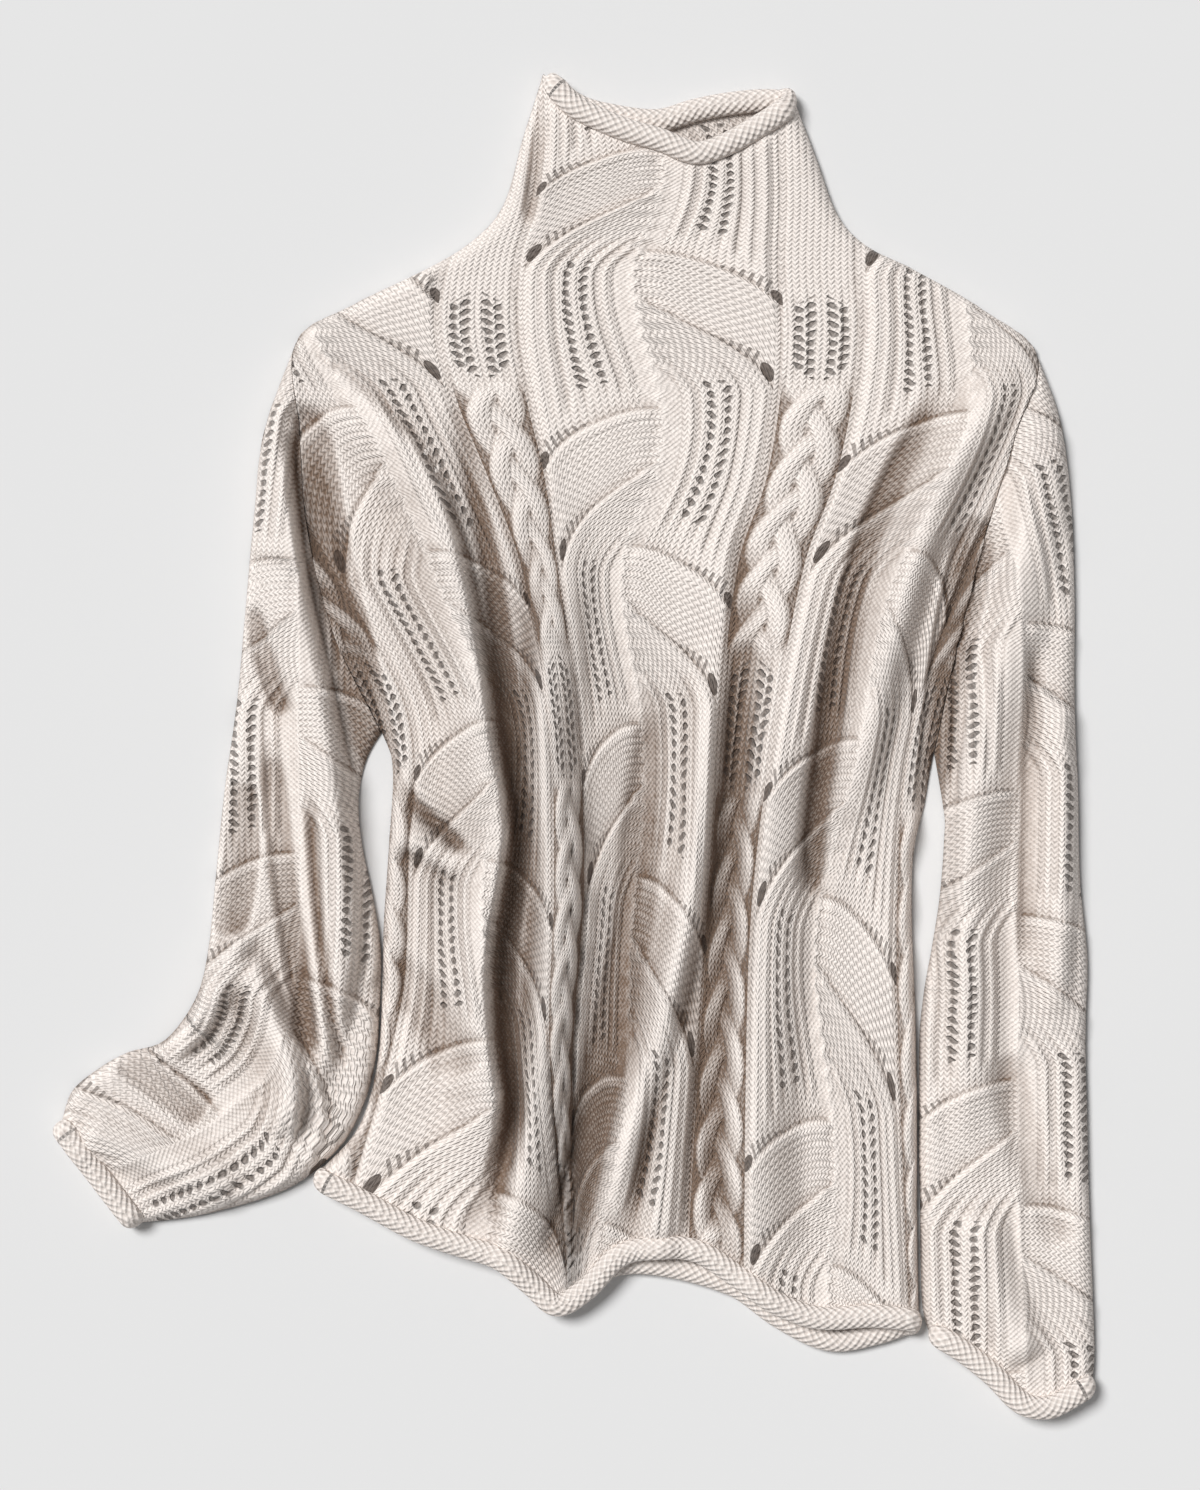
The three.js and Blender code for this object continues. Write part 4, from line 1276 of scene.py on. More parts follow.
class Signal:
    """A number inside a node tree, which arithmetic combines with others."""

    def __init__(self, tree: bpy.types.NodeTree, socket: bpy.types.NodeSocket) -> None:
        """Takes the tree and the output socket that carries the number."""
        self.tree = tree
        self.socket = socket

    def made(self, operation: str, *others: "Signal | float") -> "Signal":
        """The result of one math node.

        Args:
            operation: The node's operation.
            others: The numbers that it works on after this one.

        Returns:
            The node's number.
        """
        node = self.tree.nodes.new("ShaderNodeMath")
        node.operation = operation
        for slot, value in zip(node.inputs, (self, *others)):
            if isinstance(value, Signal):
                self.tree.links.new(value.socket, slot)
            else:
                slot.default_value = value
        return Signal(self.tree, node.outputs[0])

    def __add__(self, other: "Signal | float") -> "Signal":
        """The sum."""
        return self.made("ADD", other)

    def __sub__(self, other: "Signal | float") -> "Signal":
        """The difference."""
        return self.made("SUBTRACT", other)

    def __mul__(self, other: "Signal | float") -> "Signal":
        """The product."""
        return self.made("MULTIPLY", other)

    def __rsub__(self, other: float) -> "Signal":
        """A plain number less this one."""
        return self.scaled(-1.0, other)

    def __lt__(self, other: "Signal | float") -> "Signal":
        """1 where this number is the smaller one."""
        return self.made("LESS_THAN", other)

    def __gt__(self, other: "Signal | float") -> "Signal":
        """1 where this number is the larger one."""
        return self.made("GREATER_THAN", other)

    def __mod__(self, other: float) -> "Signal":
        """What is left after whole repeats."""
        return self.made("FLOORED_MODULO", other)

    def __abs__(self) -> "Signal":
        """The number without its sign."""
        return self.made("ABSOLUTE")

    def wave(self, pitch: float) -> "Signal":
        """A cosine that repeats at this pitch."""
        return (self * (2 * math.pi / pitch)).made("COSINE")

    def beat(self, pitch: float) -> "Signal":
        """The distance from the middle of each repeat at this pitch, as a share of it."""
        return abs((self * (1 / pitch)).made("FRACT") - 0.5)

    def scaled(self, factor: "Signal | float", offset: "Signal | float") -> "Signal":
        """This number times a factor, plus an offset."""
        return self.made("MULTIPLY_ADD", factor, offset)

    def chosen(self, yes: "Signal", no: "Signal") -> "Signal":
        """One number where this mask is 1, and another where it is 0."""
        return (yes - no).scaled(self, no)

    def clamped(self) -> "Signal":
        """The number kept between 0 and 1.

        Returns:
            The clamped number.
        """
        made = self.made("ADD", 0.0)
        made.socket.node.use_clamp = True
        return made


class SocketKind(Enum):
    """The kinds of socket that the node groups have."""

    VALUE = "NodeSocketFloat"
    VECTOR = "NodeSocketVector"
    COLOUR = "NodeSocketColor"


class Group:
    """A node group with named inputs and outputs."""

    def __init__(self, name: str, inputs: dict[str, SocketKind], outputs: dict[str, SocketKind]) -> None:
        """Makes the group.

        Args:
            name: The group's name.
            inputs: The kind of each input.
            outputs: The kind of each output.
        """
        self.tree = bpy.data.node_groups.new(name, "ShaderNodeTree")
        for label, kind in inputs.items():
            self.tree.interface.new_socket(label, in_out="INPUT", socket_type=kind.value)
        for label, kind in outputs.items():
            self.tree.interface.new_socket(label, in_out="OUTPUT", socket_type=kind.value)
        self.source = self.tree.nodes.new("NodeGroupInput")
        self.sink = self.tree.nodes.new("NodeGroupOutput")

    def value(self, label: str) -> Signal:
        """An input as a number."""
        return Signal(self.tree, self.source.outputs[label])

    def deliver(self, label: str, signal: Signal) -> None:
        """Links a number to an output."""
        self.tree.links.new(signal.socket, self.sink.inputs[label])

    def placed(self, tree: bpy.types.NodeTree) -> bpy.types.Node:
        """Uses this group in another tree.

        Args:
            tree: The other tree.

        Returns:
            The new node.
        """
        node = tree.nodes.new("ShaderNodeGroup")
        node.node_tree = self.tree
        return node


@dataclass(frozen=True)
class Gauge:
    """The size of one stitch in millimetres of knit.

    Args:
        row: Of a row.
        column: Of a column of plain knit.
        first: Of a column of a first leaf, which runs along its upper edge.
        second: Of a column of a second leaf.
        strand: Of a column of a cable's strand.
        rolled_row: Of a row at the rolled edges.
        rolled_column: Of a column there.
    """

    row: float = 2.8
    column: float = 3.3
    first: float = 3.1
    second: float = 3.4
    strand: float = 3.0
    rolled_row: float = 4.6
    rolled_column: float = 4.0


@dataclass(frozen=True)
class Openwork:
    """The holes of the knit, in millimetres of knit.

    Args:
        slit_pitch: From one slit above a leaf to the next.
        slit_half: Half a slit's width, as a share of the pitch.
        slit_start: From the stem to the first slit.
        slit_run: Over which the slits grow.
        slit_length: How far the first slit reaches up, and how much farther the last one does.
        slit_lean: How far a slit leans inwards for each millimetre up.
        first_shift: How much nearer to the stem the slits over a first leaf are.
        eyelet_place: From the stem to the large eyelet, and from the leaf up to it.
        eyelet_half: Half its width and height.
        ladder_pitch: From one hole of a ladder to the next.
        ladder_half: Half the width and height of such a hole.
        ladder_side: From the middle of a pair of ladders on a leaf to each of them.
        narrow_side: The same between the panels.
        narrow_middle: From the cable panel's middle to the middle of its pair.
    """

    slit_pitch: float = 3.4
    slit_half: float = 0.21
    slit_start: float = 40.0
    slit_run: float = 18.0
    slit_length: tuple[float, float] = (2.2, 5.4)
    slit_lean: float = 0.45
    first_shift: float = 5.5
    eyelet_place: tuple[float, float] = (61.0, 2.4)
    eyelet_half: tuple[float, float] = (3.3, 2.5)
    ladder_pitch: float = 5.5
    ladder_half: tuple[float, float] = (2.5, 1.9)
    ladder_side: float = 5.0
    narrow_side: float = 2.7
    narrow_middle: float = 8.0


GAUGE = Gauge()
HOLES = Openwork()


def stitch_group() -> Group:
    """The loops of plain knit: slanted strands in columns, or small bumps on the purl side.

    Returns:
        The group.
    """
    group = Group(
        "Stitches",
        {"Wale": SocketKind.VALUE, "Row": SocketKind.VALUE, "Purl": SocketKind.VALUE},
        {"Height": SocketKind.VALUE},
    )
    wale, row = group.value("Wale"), group.value("Row")
    off = abs(wale.made("FRACT") - 0.5)
    side = off * off * 4.0
    strand = abs((row + off * 1.3).made("FRACT") - 0.5)
    bead = (row + 0.65).wave(1.0).scaled(0.3, 0.7)
    plain = (1.0 - side * bead) * (strand * strand).scaled(-2.6, 1.0)
    purl = (row.wave(1.0) * wale.wave(1.0)).scaled(0.3, 0.5)
    group.deliver("Height", group.value("Purl").chosen(purl, plain))
    return group


class ChartNodes:
    """The knitting chart as a node group.

    From a place in the chart it gives the place in the stitches, and masks for holes, ribs, the upper edges
    of the leaves and the gaps between a cable's strands, which also carry painted shade.
    """

    INPUTS = ("Across", "Down", "Cable", "Ladder")
    OUTPUTS = ("Wale", "Row", "Purl", "Hole", "Rib", "Line", "Strand")

    def __init__(self) -> None:
        """Makes the group and links all its outputs."""
        values = (dict.fromkeys(labels, SocketKind.VALUE) for labels in (self.INPUTS, self.OUTPUTS))
        self.group = Group("Knitting chart", *values)
        across, down, self.cable, self.ladder = (self.group.value(label) for label in self.INPUTS)
        self.across, self.down = across * CHART_UNIT, down * CHART_UNIT
        self.signed = self.across.made("WRAP", PANEL_HALF, -PANEL_HALF)
        self.out = abs(self.signed)
        self.beside_leaf = self.out < PANEL_EDGE + 2
        self._leaves()
        self._openwork()
        self._ribs()
        self._stitches()

    def _leaves(self) -> None:
        """Finds which leaf each place is on, and how it lies to the upper edges."""
        start = (self.signed > 0.0).scaled(RIGHT_LEAF_START - LEFT_LEAF_START, LEFT_LEAF_START)
        reach = self.out * (1 / FIRST_REACH)
        drop = reach.made("POWER", FIRST_BEND) * FIRST_DROP
        below = (self.down - start - drop) % REPEAT
        self.fall = (below + drop).scaled(-1 / SECOND_FALL, 1 + SECOND_START / SECOND_FALL).clamped()
        self.far = self.fall.made("POWER", SECOND_BEND).scaled(PANEL_EDGE, self.out)
        self.in_panel = self.out < PANEL_EDGE
        self.second = (self.far < PANEL_EDGE) * self.in_panel
        self.first = self.in_panel - self.second
        slope = reach.made("POWER", FIRST_BEND - 1) * (FIRST_BEND * FIRST_DROP / FIRST_REACH)
        cosine = (slope * slope + 1.0).made("INVERSE_SQRT")
        self.under_first = below * cosine
        self.over_next = below.scaled(-1.0, REPEAT) * cosine
        self.above = self.first.chosen((self.far - PANEL_EDGE) * SLANT, self.over_next)
        # Line: the upper edge of a leaf, bumped in and given a painted shadow line.
        self.group.deliver("Line", (self.above < 1.6) * self.in_panel * (self.out > 3.0))

    def _openwork(self) -> None:
        """Marks the slits and the eyelet over each leaf, and the ladders."""
        base = self.above.scaled(-HOLES.slit_lean, self.out) + self.first * HOLES.first_shift
        grown = (base - HOLES.slit_start) * (1 / HOLES.slit_run)
        lean = self.above.scaled(-HOLES.slit_lean, self.out)
        slit = lean.beat(HOLES.slit_pitch) < HOLES.slit_half
        reach = grown.scaled(HOLES.slit_length[1], HOLES.slit_length[0])
        slit = slit * (grown > -0.2) * (grown < 0.96) * (self.above < reach) * (self.above > 0.4)
        along, up = HOLES.eyelet_place
        eyelet = self._oval(base - along, self.above - up, HOLES.eyelet_half) < 1.0
        eyelet = eyelet * (self.out < PANEL_EDGE + 4)
        hole = (slit * self.in_panel * 0.7).made("MAXIMUM", eyelet)
        self.group.deliver("Hole", hole.made("MAXIMUM", self._ladders()))

    def _oval(self, across: Signal, up: Signal, half: tuple[float, float]) -> Signal:
        """A number that is below 1 inside an oval.

        Args:
            across: Distance from its middle.
            up: The same in the other direction.
            half: Half its width and height.

        Returns:
            0 at its middle and 1 at its edge.
        """
        wide, tall = across * (1 / half[0]), up * (1 / half[1])
        return wide * wide + tall * tall

    def _ladders(self) -> Signal:
        """The holes of the ladders, on the second leaves and between the panels.

        Returns:
            A number up to 1 in a hole and 0 outside.
        """
        middle = PANEL_HALF - HOLES.narrow_middle
        on_leaf = (self.fall < 0.14) * (self.over_next > 17.0) * self.second
        between = self.ladder > abs(self.out - PANEL_HALF).scaled(0.055, 0.2)
        shown = self.beside_leaf.chosen(on_leaf, between)
        self.side = abs(self.far - LADDER_MIDDLE)
        self.pair = abs(self.out - middle)
        column = self.beside_leaf.chosen(self.side - HOLES.ladder_side, self.pair - HOLES.narrow_side)
        stagger = self.beside_leaf.chosen(self.far > LADDER_MIDDLE, self.out > middle)
        steps = self.down * (1 / HOLES.ladder_pitch) + stagger * 0.5 + column * 0.07
        wobble = (self.down * 1.31).made("SINE") * 0.7
        oval = self._oval(column + wobble, steps.beat(1.0) * HOLES.ladder_pitch, HOLES.ladder_half)
        return oval.scaled(-1.5, 1.6).clamped() * shown * 0.8

    def _ribs(self) -> None:
        """Marks the grooves between the ribs beside the ladders, and the beaded groove beside a panel."""
        begun = self.fall.scaled(-3.5, 1.6).clamped() * self.over_next.scaled(0.14, -1.0).clamped()
        on_leaf = begun * self.second * (self.side > 7.2) * (self.side < 21.5)
        flank = self.beside_leaf.chosen(on_leaf, self.ladder * (self.pair < 8.6) * 0.6)
        phase = self.beside_leaf.chosen((self.side - 1.0) * (1 / RIB_PITCH), self.pair * (1 / 5.4))
        rib = phase.wave(1.0).scaled(0.5, -0.5)
        groove = (abs(self.out - GROOVE_PLACE) < 1.9) * self.down.wave(5.0).scaled(0.25, -0.6)
        # Rib: its grooves are bumped in and given painted shade.
        self.group.deliver("Rib", (rib * rib * flank * -1.0).made("ADD", groove))

    def _stitches(self) -> None:
        """Gives the columns and rows of stitches, which follow each leaf and strand."""
        cabled = self.cable * (self.out > PANEL_EDGE + 4)
        lane, bow = self._top_strand()
        # Strand: the edges of the strand on top, used only for painted shade in the gaps between strands.
        self.group.deliver("Strand", ((1.0 - bow) * cabled).clamped())
        leaf = self.first.chosen(self.under_first * (1 / GAUGE.first), self.far * (1 / GAUGE.second))
        beside = (cabled > 0.5).chosen(lane * (1 / GAUGE.strand), self.across * (1 / GAUGE.column))
        self.group.deliver("Wale", self.in_panel.chosen(leaf, beside))
        self.group.deliver("Row", self.first.chosen(self.out, self.down) * (1 / GAUGE.row))
        self.group.deliver("Purl", (self.out < 10.5) * (self.fall < 0.3))

    def _top_strand(self) -> tuple[Signal, Signal]:
        """The strand on top at each place of a cable.

        Returns:
            The distance from its middle, and its rounding.
        """
        middle = self.signed.made("SIGN") * (self.out - PANEL_HALF)
        strands = [self._strand(middle, k / 3) for k in range(3)]
        height, lane, bow = strands[0]
        for rise, lean, round_ in strands[1:]:
            above = rise > height
            lane, bow = above.chosen(lean, lane), above.chosen(round_, bow)
            height = height.made("MAXIMUM", rise)
        return lane, bow

    def _strand(self, middle: Signal, lag: float) -> tuple[Signal, Signal, Signal]:
        """One strand of a cable.

        Args:
            middle: Millimetres from the cable's middle.
            lag: How far the strand runs behind the first one, as a share of its way.

        Returns:
            Its height, the distance from its own middle, and its rounding, 1 at its middle and 0 at its side.
        """
        phase = self.down * (2 * math.pi / CABLE_TURN) + 2 * math.pi * lag
        lean = middle - phase.made("SINE") * CABLE_SWING
        off = lean * (1 / CABLE_HALF)
        bow = (off * off).scaled(-1.0, 1.0).clamped().made("SQRT")
        return bow * (phase * 2.0).made("SINE").scaled(CABLE_CROSSING, CABLE_LIFT), lean, bow


@dataclass(frozen=True)
class Yarn:
    """The look of the yarn.

    Args:
        light: The yarn's colour on the ridges, the light end of the painted shading.
        dark: Painted shade colour, in the shaded valleys and between the stitches.
        hole: Painted shade colour seen through a gap, for the shaded layer below.
        roughness: Of the fibres.
        sheen: Weight of the fuzz.
        relief: Millimetres that one stitch stands up.
        fibre_scale: How fine the fibres are.
        fibre_contrast: How much they lighten and darken the colour.
        fibre_relief: Millimetres that they stand up.
        melange_scale: How fine the mixed colours of the yarn are.
        melange_contrast: How much they lighten and darken it.
    """

    light: tuple[float, float, float]
    dark: tuple[float, float, float]
    hole: tuple[float, float, float]
    roughness: float = 0.92
    sheen: float = 0.1
    relief: float = 1.0
    fibre_scale: float = 620.0
    fibre_contrast: float = 0.4
    fibre_relief: float = 0.5
    melange_scale: float = 210.0
    melange_contrast: float = 0.24


# Light colour, painted shade colour, and painted shade seen through the gaps.
OATMEAL = Yarn((0.985, 0.905, 0.848), (0.21, 0.142, 0.102), (0.07, 0.047, 0.035))


@dataclass(frozen=True)
class KnitTone:
    """How painted shade and painted highlight on the features of the knit darken and lighten it, and how deep
    the bump takes them.

    Args:
        side: Share of painted shade at the side of a loop.
        crest: How much lighter a loop's crest is painted, a painted highlight.
        rib: How much painted shade darkens a groove between ribs.
        line: How much painted shade darkens the upper edge of a leaf.
        strand: How much painted shade darkens the gaps between a cable's strands.
        hole_depth: Millimetres that a hole goes down.
        line_depth: Millimetres that the upper edge of a leaf goes in.
        rolled_side: The painted shade at the side of a loop at the rolled edges.
        rolled_crest: Its painted highlight at the crest there.
        rolled_relief: How much higher the loops stand there.
    """

    side: float = 0.24
    crest: float = 0.4
    rib: float = 0.13
    line: float = 0.22
    strand: float = 0.5
    hole_depth: float = 2.0
    line_depth: float = 0.5
    rolled_side: float = 0.5
    rolled_crest: float = 0.7
    rolled_relief: float = 2.0


class Finishes:
    """The materials of the garment."""

    def __init__(self, yarn: Yarn, tone: KnitTone = KnitTone()) -> None:
        """Makes the node groups.

        Args:
            yarn: The look of the yarn.
            tone: How the knit lightens and darkens it.
        """
        self.yarn = yarn
        self.tone = tone
        self.stitches = stitch_group()
        self.chart = ChartNodes().group

    def knit(self) -> bpy.types.Material:
        """The patterned knit of the body and the sleeves.

        Returns:
            The material.
        """
        tone = self.tone
        material, tree, shader = self._started("knit")
        across, down = self._map(tree)
        # The third trait is the painted shade baked into the mesh.
        traits = tree.nodes.new("ShaderNodeAttribute")
        traits.attribute_name = "traits"
        parts = tree.nodes.new("ShaderNodeSeparateColor")
        tree.links.new(traits.outputs["Color"], parts.inputs[0])
        cable, ladder, depth = (Signal(tree, parts.outputs[k]) for k in range(3))
        chart = self.chart.placed(tree)
        for label, signal in zip(ChartNodes.INPUTS, (across, down, cable, ladder)):
            tree.links.new(signal.socket, chart.inputs[label])
        stitch = self.stitches.placed(tree)
        for label in ("Wale", "Row", "Purl"):
            tree.links.new(chart.outputs[label], stitch.inputs[label])
        loops = Signal(tree, stitch.outputs["Height"])
        hole, rib, line, strand = (
            Signal(tree, chart.outputs[label]) for label in ("Hole", "Rib", "Line", "Strand")
        )
        height = loops.scaled(self.yarn.relief, rib) + hole * -tone.hole_depth + line * -tone.line_depth
        # Painted shade and highlight: lighter loop crests, darker loop sides, rib grooves, leaf edges and
        # strand gaps, plus the baked painted shade.
        shade = loops.scaled(-tone.crest, tone.side) + rib * -tone.rib + line * tone.line
        shade = (shade + strand * strand * tone.strand + depth).clamped()
        self._finish(tree, shader, height, shade, hole)
        return material

    def rolled(self) -> bpy.types.Material:
        """The rolled edges, which show the other side of the knit.

        Returns:
            The material.
        """
        material, tree, shader = self._started("rolled_edge")
        across, down = self._map(tree)
        stitch = self.stitches.placed(tree)
        tree.links.new((across * (CHART_UNIT / GAUGE.rolled_row)).socket, stitch.inputs["Row"])
        tree.links.new((down * (CHART_UNIT / GAUGE.rolled_column)).socket, stitch.inputs["Wale"])
        stitch.inputs["Purl"].default_value = 1.0
        loops = Signal(tree, stitch.outputs["Height"])
        # Painted shade and highlight of the rolled loops.
        shade = loops.scaled(-self.tone.rolled_crest, self.tone.rolled_side).clamped()
        self._finish(tree, shader, loops * self.tone.rolled_relief, shade, None)
        return material

    def _started(self, name: str) -> tuple[bpy.types.Material, bpy.types.NodeTree, bpy.types.Node]:
        """A new material of this yarn.

        Args:
            name: Its name.

        Returns:
            The material, its node tree and its shader.
        """
        material = bpy.data.materials.new(name)
        material.use_nodes = True
        tree = material.node_tree
        shader = next(node for node in tree.nodes if node.type == "BSDF_PRINCIPLED")
        shader.inputs["Roughness"].default_value = self.yarn.roughness
        shader.inputs["Sheen Weight"].default_value = self.yarn.sheen
        shader.inputs["Sheen Roughness"].default_value = 0.6
        shader.inputs["Specular IOR Level"].default_value = 0.15
        return material, tree, shader

    def _map(self, tree: bpy.types.NodeTree) -> tuple[Signal, Signal]:
        """Reads the piece's map.

        Args:
            tree: The material's nodes.

        Returns:
            The two numbers of the map.
        """
        place = tree.nodes.new("ShaderNodeUVMap")
        place.uv_map = "chart"
        parts = tree.nodes.new("ShaderNodeSeparateXYZ")
        tree.links.new(place.outputs[0], parts.inputs[0])
        return Signal(tree, parts.outputs[0]), Signal(tree, parts.outputs[1])

    def _noise(self, tree: bpy.types.NodeTree, scale: float, detail: float) -> Signal:
        """Noise on the piece's own coordinates.

        Args:
            tree: The material's nodes.
            scale: How fine it is.
            detail: How many finer layers it has.

        Returns:
            A number from 0 to 1.
        """
        where = tree.nodes.new("ShaderNodeTexCoord")
        noise = tree.nodes.new("ShaderNodeTexNoise")
        noise.inputs["Scale"].default_value = scale
        noise.inputs["Detail"].default_value = detail
        tree.links.new(where.outputs["Object"], noise.inputs["Vector"])
        return Signal(tree, noise.outputs[0])

    def _blend(
        self, tree: bpy.types.NodeTree, first: bpy.types.NodeSocket | tuple[float, float, float],
        second: tuple[float, float, float], share: Signal,
    ) -> bpy.types.NodeSocket:
        """A colour between two others.

        Args:
            tree: The material's nodes.
            first: The colour where the share is 0, or the socket that gives it.
            second: The colour where it is 1.
            share: The share.

        Returns:
            The socket with the colour.
        """
        blend = tree.nodes.new("ShaderNodeMix")
        blend.data_type = "RGBA"
        if isinstance(first, tuple):
            blend.inputs[6].default_value = (*first, 1)
        else:
            tree.links.new(first, blend.inputs[6])
        blend.inputs[7].default_value = (*second, 1)
        tree.links.new(share.socket, blend.inputs[0])
        return blend.outputs[2]

    def _finish(
        self, tree: bpy.types.NodeTree, shader: bpy.types.Node,
        height: Signal, shade: Signal, hole: Signal | None,
    ) -> None:
        """Adds fibres, colours and the bump, and links them to the shader.

        Args:
            tree: The material's nodes.
            shader: Its shader.
            height: Millimetres that the surface stands up.
            shade: Share of the dark colour, which is painted shade.
            hole: Where a gap shows, painted with the shade colour seen through it, if there are any.
        """
        yarn = self.yarn
        fibre = self._noise(tree, yarn.fibre_scale, 2.0)
        mottle = self._noise(tree, yarn.melange_scale, 1.0)
        melange = mottle.scaled(yarn.melange_contrast, -yarn.melange_contrast / 2)
        fuzz = fibre.scaled(yarn.fibre_contrast, -yarn.fibre_contrast / 2)
        # Mixes the light colour with the painted shade colour.
        colour = self._blend(tree, yarn.light, yarn.dark, (shade + melange + fuzz).clamped())
        # Painted shade seen through the gaps.
        if hole is not None:
            colour = self._blend(tree, colour, yarn.hole, hole * 0.85)
        tree.links.new(colour, shader.inputs["Base Color"])
        bump = tree.nodes.new("ShaderNodeBump")
        bump.inputs["Strength"].default_value = 1.0
        bump.inputs["Distance"].default_value = MM
        tree.links.new((height + fibre * yarn.fibre_relief).socket, bump.inputs["Height"])
        tree.links.new(bump.outputs[0], shader.inputs["Normal"])


class Slot(Enum):
    """The record's material slots."""

    KNIT = "knit"
    ROLLED_EDGE = "rolled_edge"


class Sweater:
    """The laid garment, piece by piece."""

    def __init__(self, finishes: Finishes) -> None:
        """Takes the finishes and makes a material for each slot."""
        self.materials = {Slot.KNIT: finishes.knit(), Slot.ROLLED_EDGE: finishes.rolled()}

    def piece(self, name: str, surface: Surface, slot: Slot, node: str) -> bpy.types.Object:
        """Makes one piece that stands for a CAD node.

        Args:
            name: The piece's name.
            surface: Its closed surface.
            slot: Its material slot.
            node: The CAD node.

        Returns:
            The new object.
        """
        mesh = bpy.data.meshes.new(name)
        spots = (surface.points + np.array([*FRAME_SHIFT, 0.0])) * MM
        mesh.from_pydata(spots.tolist(), [], surface.triangles.tolist())
        mesh.polygons.foreach_set("use_smooth", np.ones(len(mesh.polygons), bool))
        corner = np.empty(len(mesh.loops), np.int32)
        mesh.loops.foreach_get("vertex_index", corner)
        layer = mesh.uv_layers.new(name="chart")
        layer.data.foreach_set("uv", surface.chart[corner].astype(np.float32).ravel())
        traits = mesh.attributes.new("traits", "FLOAT_COLOR", "POINT")
        four = np.column_stack([surface.traits, np.zeros(len(surface.traits))])
        traits.data.foreach_set("color", four.astype(np.float32).ravel())
        mesh.materials.append(self.materials[slot])
        mesh.update()
        made = bpy.data.objects.new(name, mesh)
        bpy.context.scene.collection.objects.link(made)
        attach(made, "root")
        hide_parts(node)
        log.info("%s: %d triangles, %.3f m2", name, len(surface.triangles), surface.area())
        return made

    def build(self) -> None:
        chart = BodyChart()
        left_chart = SleeveChart(LEFT_SLEEVE, stem=0.52, start=4)
        right_chart = SleeveChart(RIGHT_SLEEVE, stem=0.42, start=24)
        cloth = {
            "front": Wall(body_point, chart, columns=240, rows=380, crowding=0.03),
            "sleeve_left_upper": Wall(LEFT_SLEEVE.point, left_chart, columns=96, rows=272),
            "sleeve_right_upper": Wall(RIGHT_SLEEVE.point, right_chart, columns=96, rows=288),
            "back": Layer(back_point, chart),
            "sleeve_left_lower": Layer(LEFT_SLEEVE.point, left_chart),
            "sleeve_right_lower": Layer(RIGHT_SLEEVE.point, right_chart),
        }
        made = {
            name: self.piece(name + "_cloth", form.surface(), Slot.KNIT, name) for name, form in cloth.items()
        }
        left_end, right_end = (
            partial(line_of, sleeve.point, along_it=1.0) for sleeve in (LEFT_SLEEVE, RIGHT_SLEEVE)
        )
        neck = (partial(line_of, side, along_it=1.0) for side in (body_point, back_point))
        hem = (partial(line_of, side, along_it=0.0) for side in (body_point, back_point))
        rolls = {
            "collar_roll": Roll(*neck, inside=(48, 240)),
            "hem_roll": Roll(*hem, inside=(40, -100), steps=420),
            "cuff_roll_left": Roll(left_end, left_end, (-200, -200), steps=60),
            "cuff_roll_right": Roll(right_end, right_end, (240, -280), steps=80),
        }
        for name, form in rolls.items():
            made[name] = self.piece(name + "_cloth", form.surface(), Slot.ROLLED_EDGE, name)


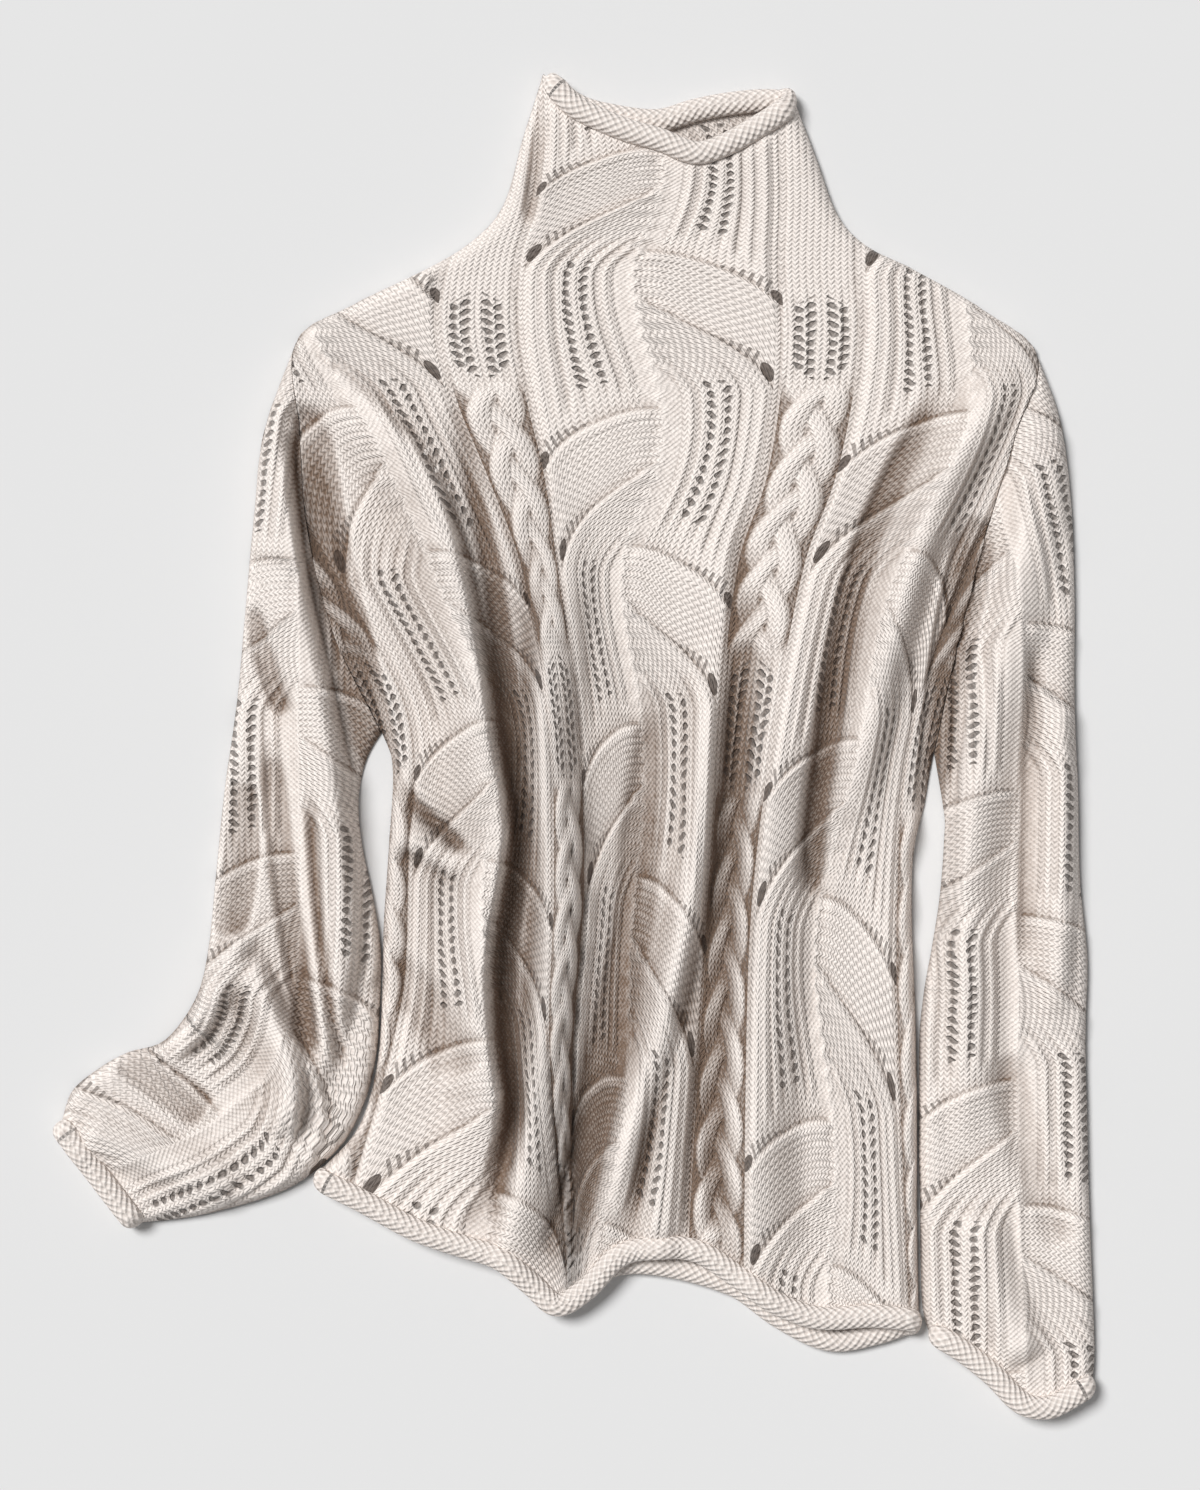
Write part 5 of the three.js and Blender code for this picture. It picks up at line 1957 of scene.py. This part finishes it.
@dataclass(frozen=True)
class Studio:
    """The floor, the lights and the camera.

    Args:
        middle: The point of the floor under the camera, in metres.
        view_height: Metres of the frame's height that the camera sees.
        lens: Focal length in millimetres.
        sensor: Sensor size in millimetres.
        floor_size: Metres.
        floor_grey: How much light the floor gives back.
        fill: Strength of the even light from all round.
        lean: How far the key light leans to the right and to the back for each metre of height.
        spread: The key light's angle in degrees, which softens its shadows.
        power: Its strength.
    """

    middle: tuple[float, float] = (0.0147, -0.005)
    view_height: float = 0.8195
    lens: float = 85.0
    sensor: float = 36.0
    floor_size: float = 24.0
    floor_grey: float = 0.78
    fill: float = 0.23
    lean: tuple[float, float] = (-0.5, 0.34)
    spread: float = 22.0
    power: float = 2.91

    def build(self) -> None:
        """Makes the whole studio."""
        self._floor()
        self._world()
        self._key()
        self._camera()
        scene = bpy.context.scene
        scene.view_settings.view_transform = "Standard"
        scene.view_settings.look = "None"

    def _floor(self) -> None:
        """A plain pale floor."""
        bpy.ops.object.select_all(action="DESELECT")
        bpy.ops.mesh.primitive_plane_add(size=self.floor_size, location=(0, 0, 0))
        floor = bpy.context.object
        floor.name = "floor"
        material = bpy.data.materials.new("floor")
        material.use_nodes = True
        shader = next(node for node in material.node_tree.nodes if node.type == "BSDF_PRINCIPLED")
        shader.inputs["Base Color"].default_value = (*[self.floor_grey] * 3, 1)
        shader.inputs["Roughness"].default_value = 1.0
        shader.inputs["Specular IOR Level"].default_value = 0.0
        floor.data.materials.append(material)

    def _world(self) -> None:
        """Even white light from all round."""
        world = bpy.data.worlds.new("studio")
        world.use_nodes = True
        back = next(node for node in world.node_tree.nodes if node.type == "BACKGROUND")
        back.inputs["Color"].default_value = (1, 1, 1, 1)
        back.inputs["Strength"].default_value = self.fill
        bpy.context.scene.world = world

    def _key(self) -> None:
        """A soft light from the upper left."""
        data = bpy.data.lights.new("key", "SUN")
        data.angle = math.radians(self.spread)
        data.energy = self.power
        lamp = bpy.data.objects.new("key", data)
        lamp.location = (*self.lean, 1.0)
        lamp.rotation_euler = (-math.atan(self.lean[1]), math.atan(self.lean[0]), 0.0)
        bpy.context.scene.collection.objects.link(lamp)

    def _camera(self) -> None:
        """A camera straight above the garment."""
        data = bpy.data.cameras.new("camera")
        data.lens = self.lens
        data.sensor_width = self.sensor
        camera = bpy.data.objects.new("camera", data)
        camera.location = (*self.middle, self.view_height * self.lens / self.sensor + REST_HEIGHT * MM)
        bpy.context.scene.collection.objects.link(camera)
        bpy.context.scene.camera = camera


def main() -> None:
    """Builds the garment and its studio; each piece logs its triangles and area."""
    logging.basicConfig(level=logging.INFO, format="%(name)s %(message)s")
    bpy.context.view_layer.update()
    Sweater(Finishes(OATMEAL)).build()
    Studio().build()


if __name__ == "__main__":
    main()
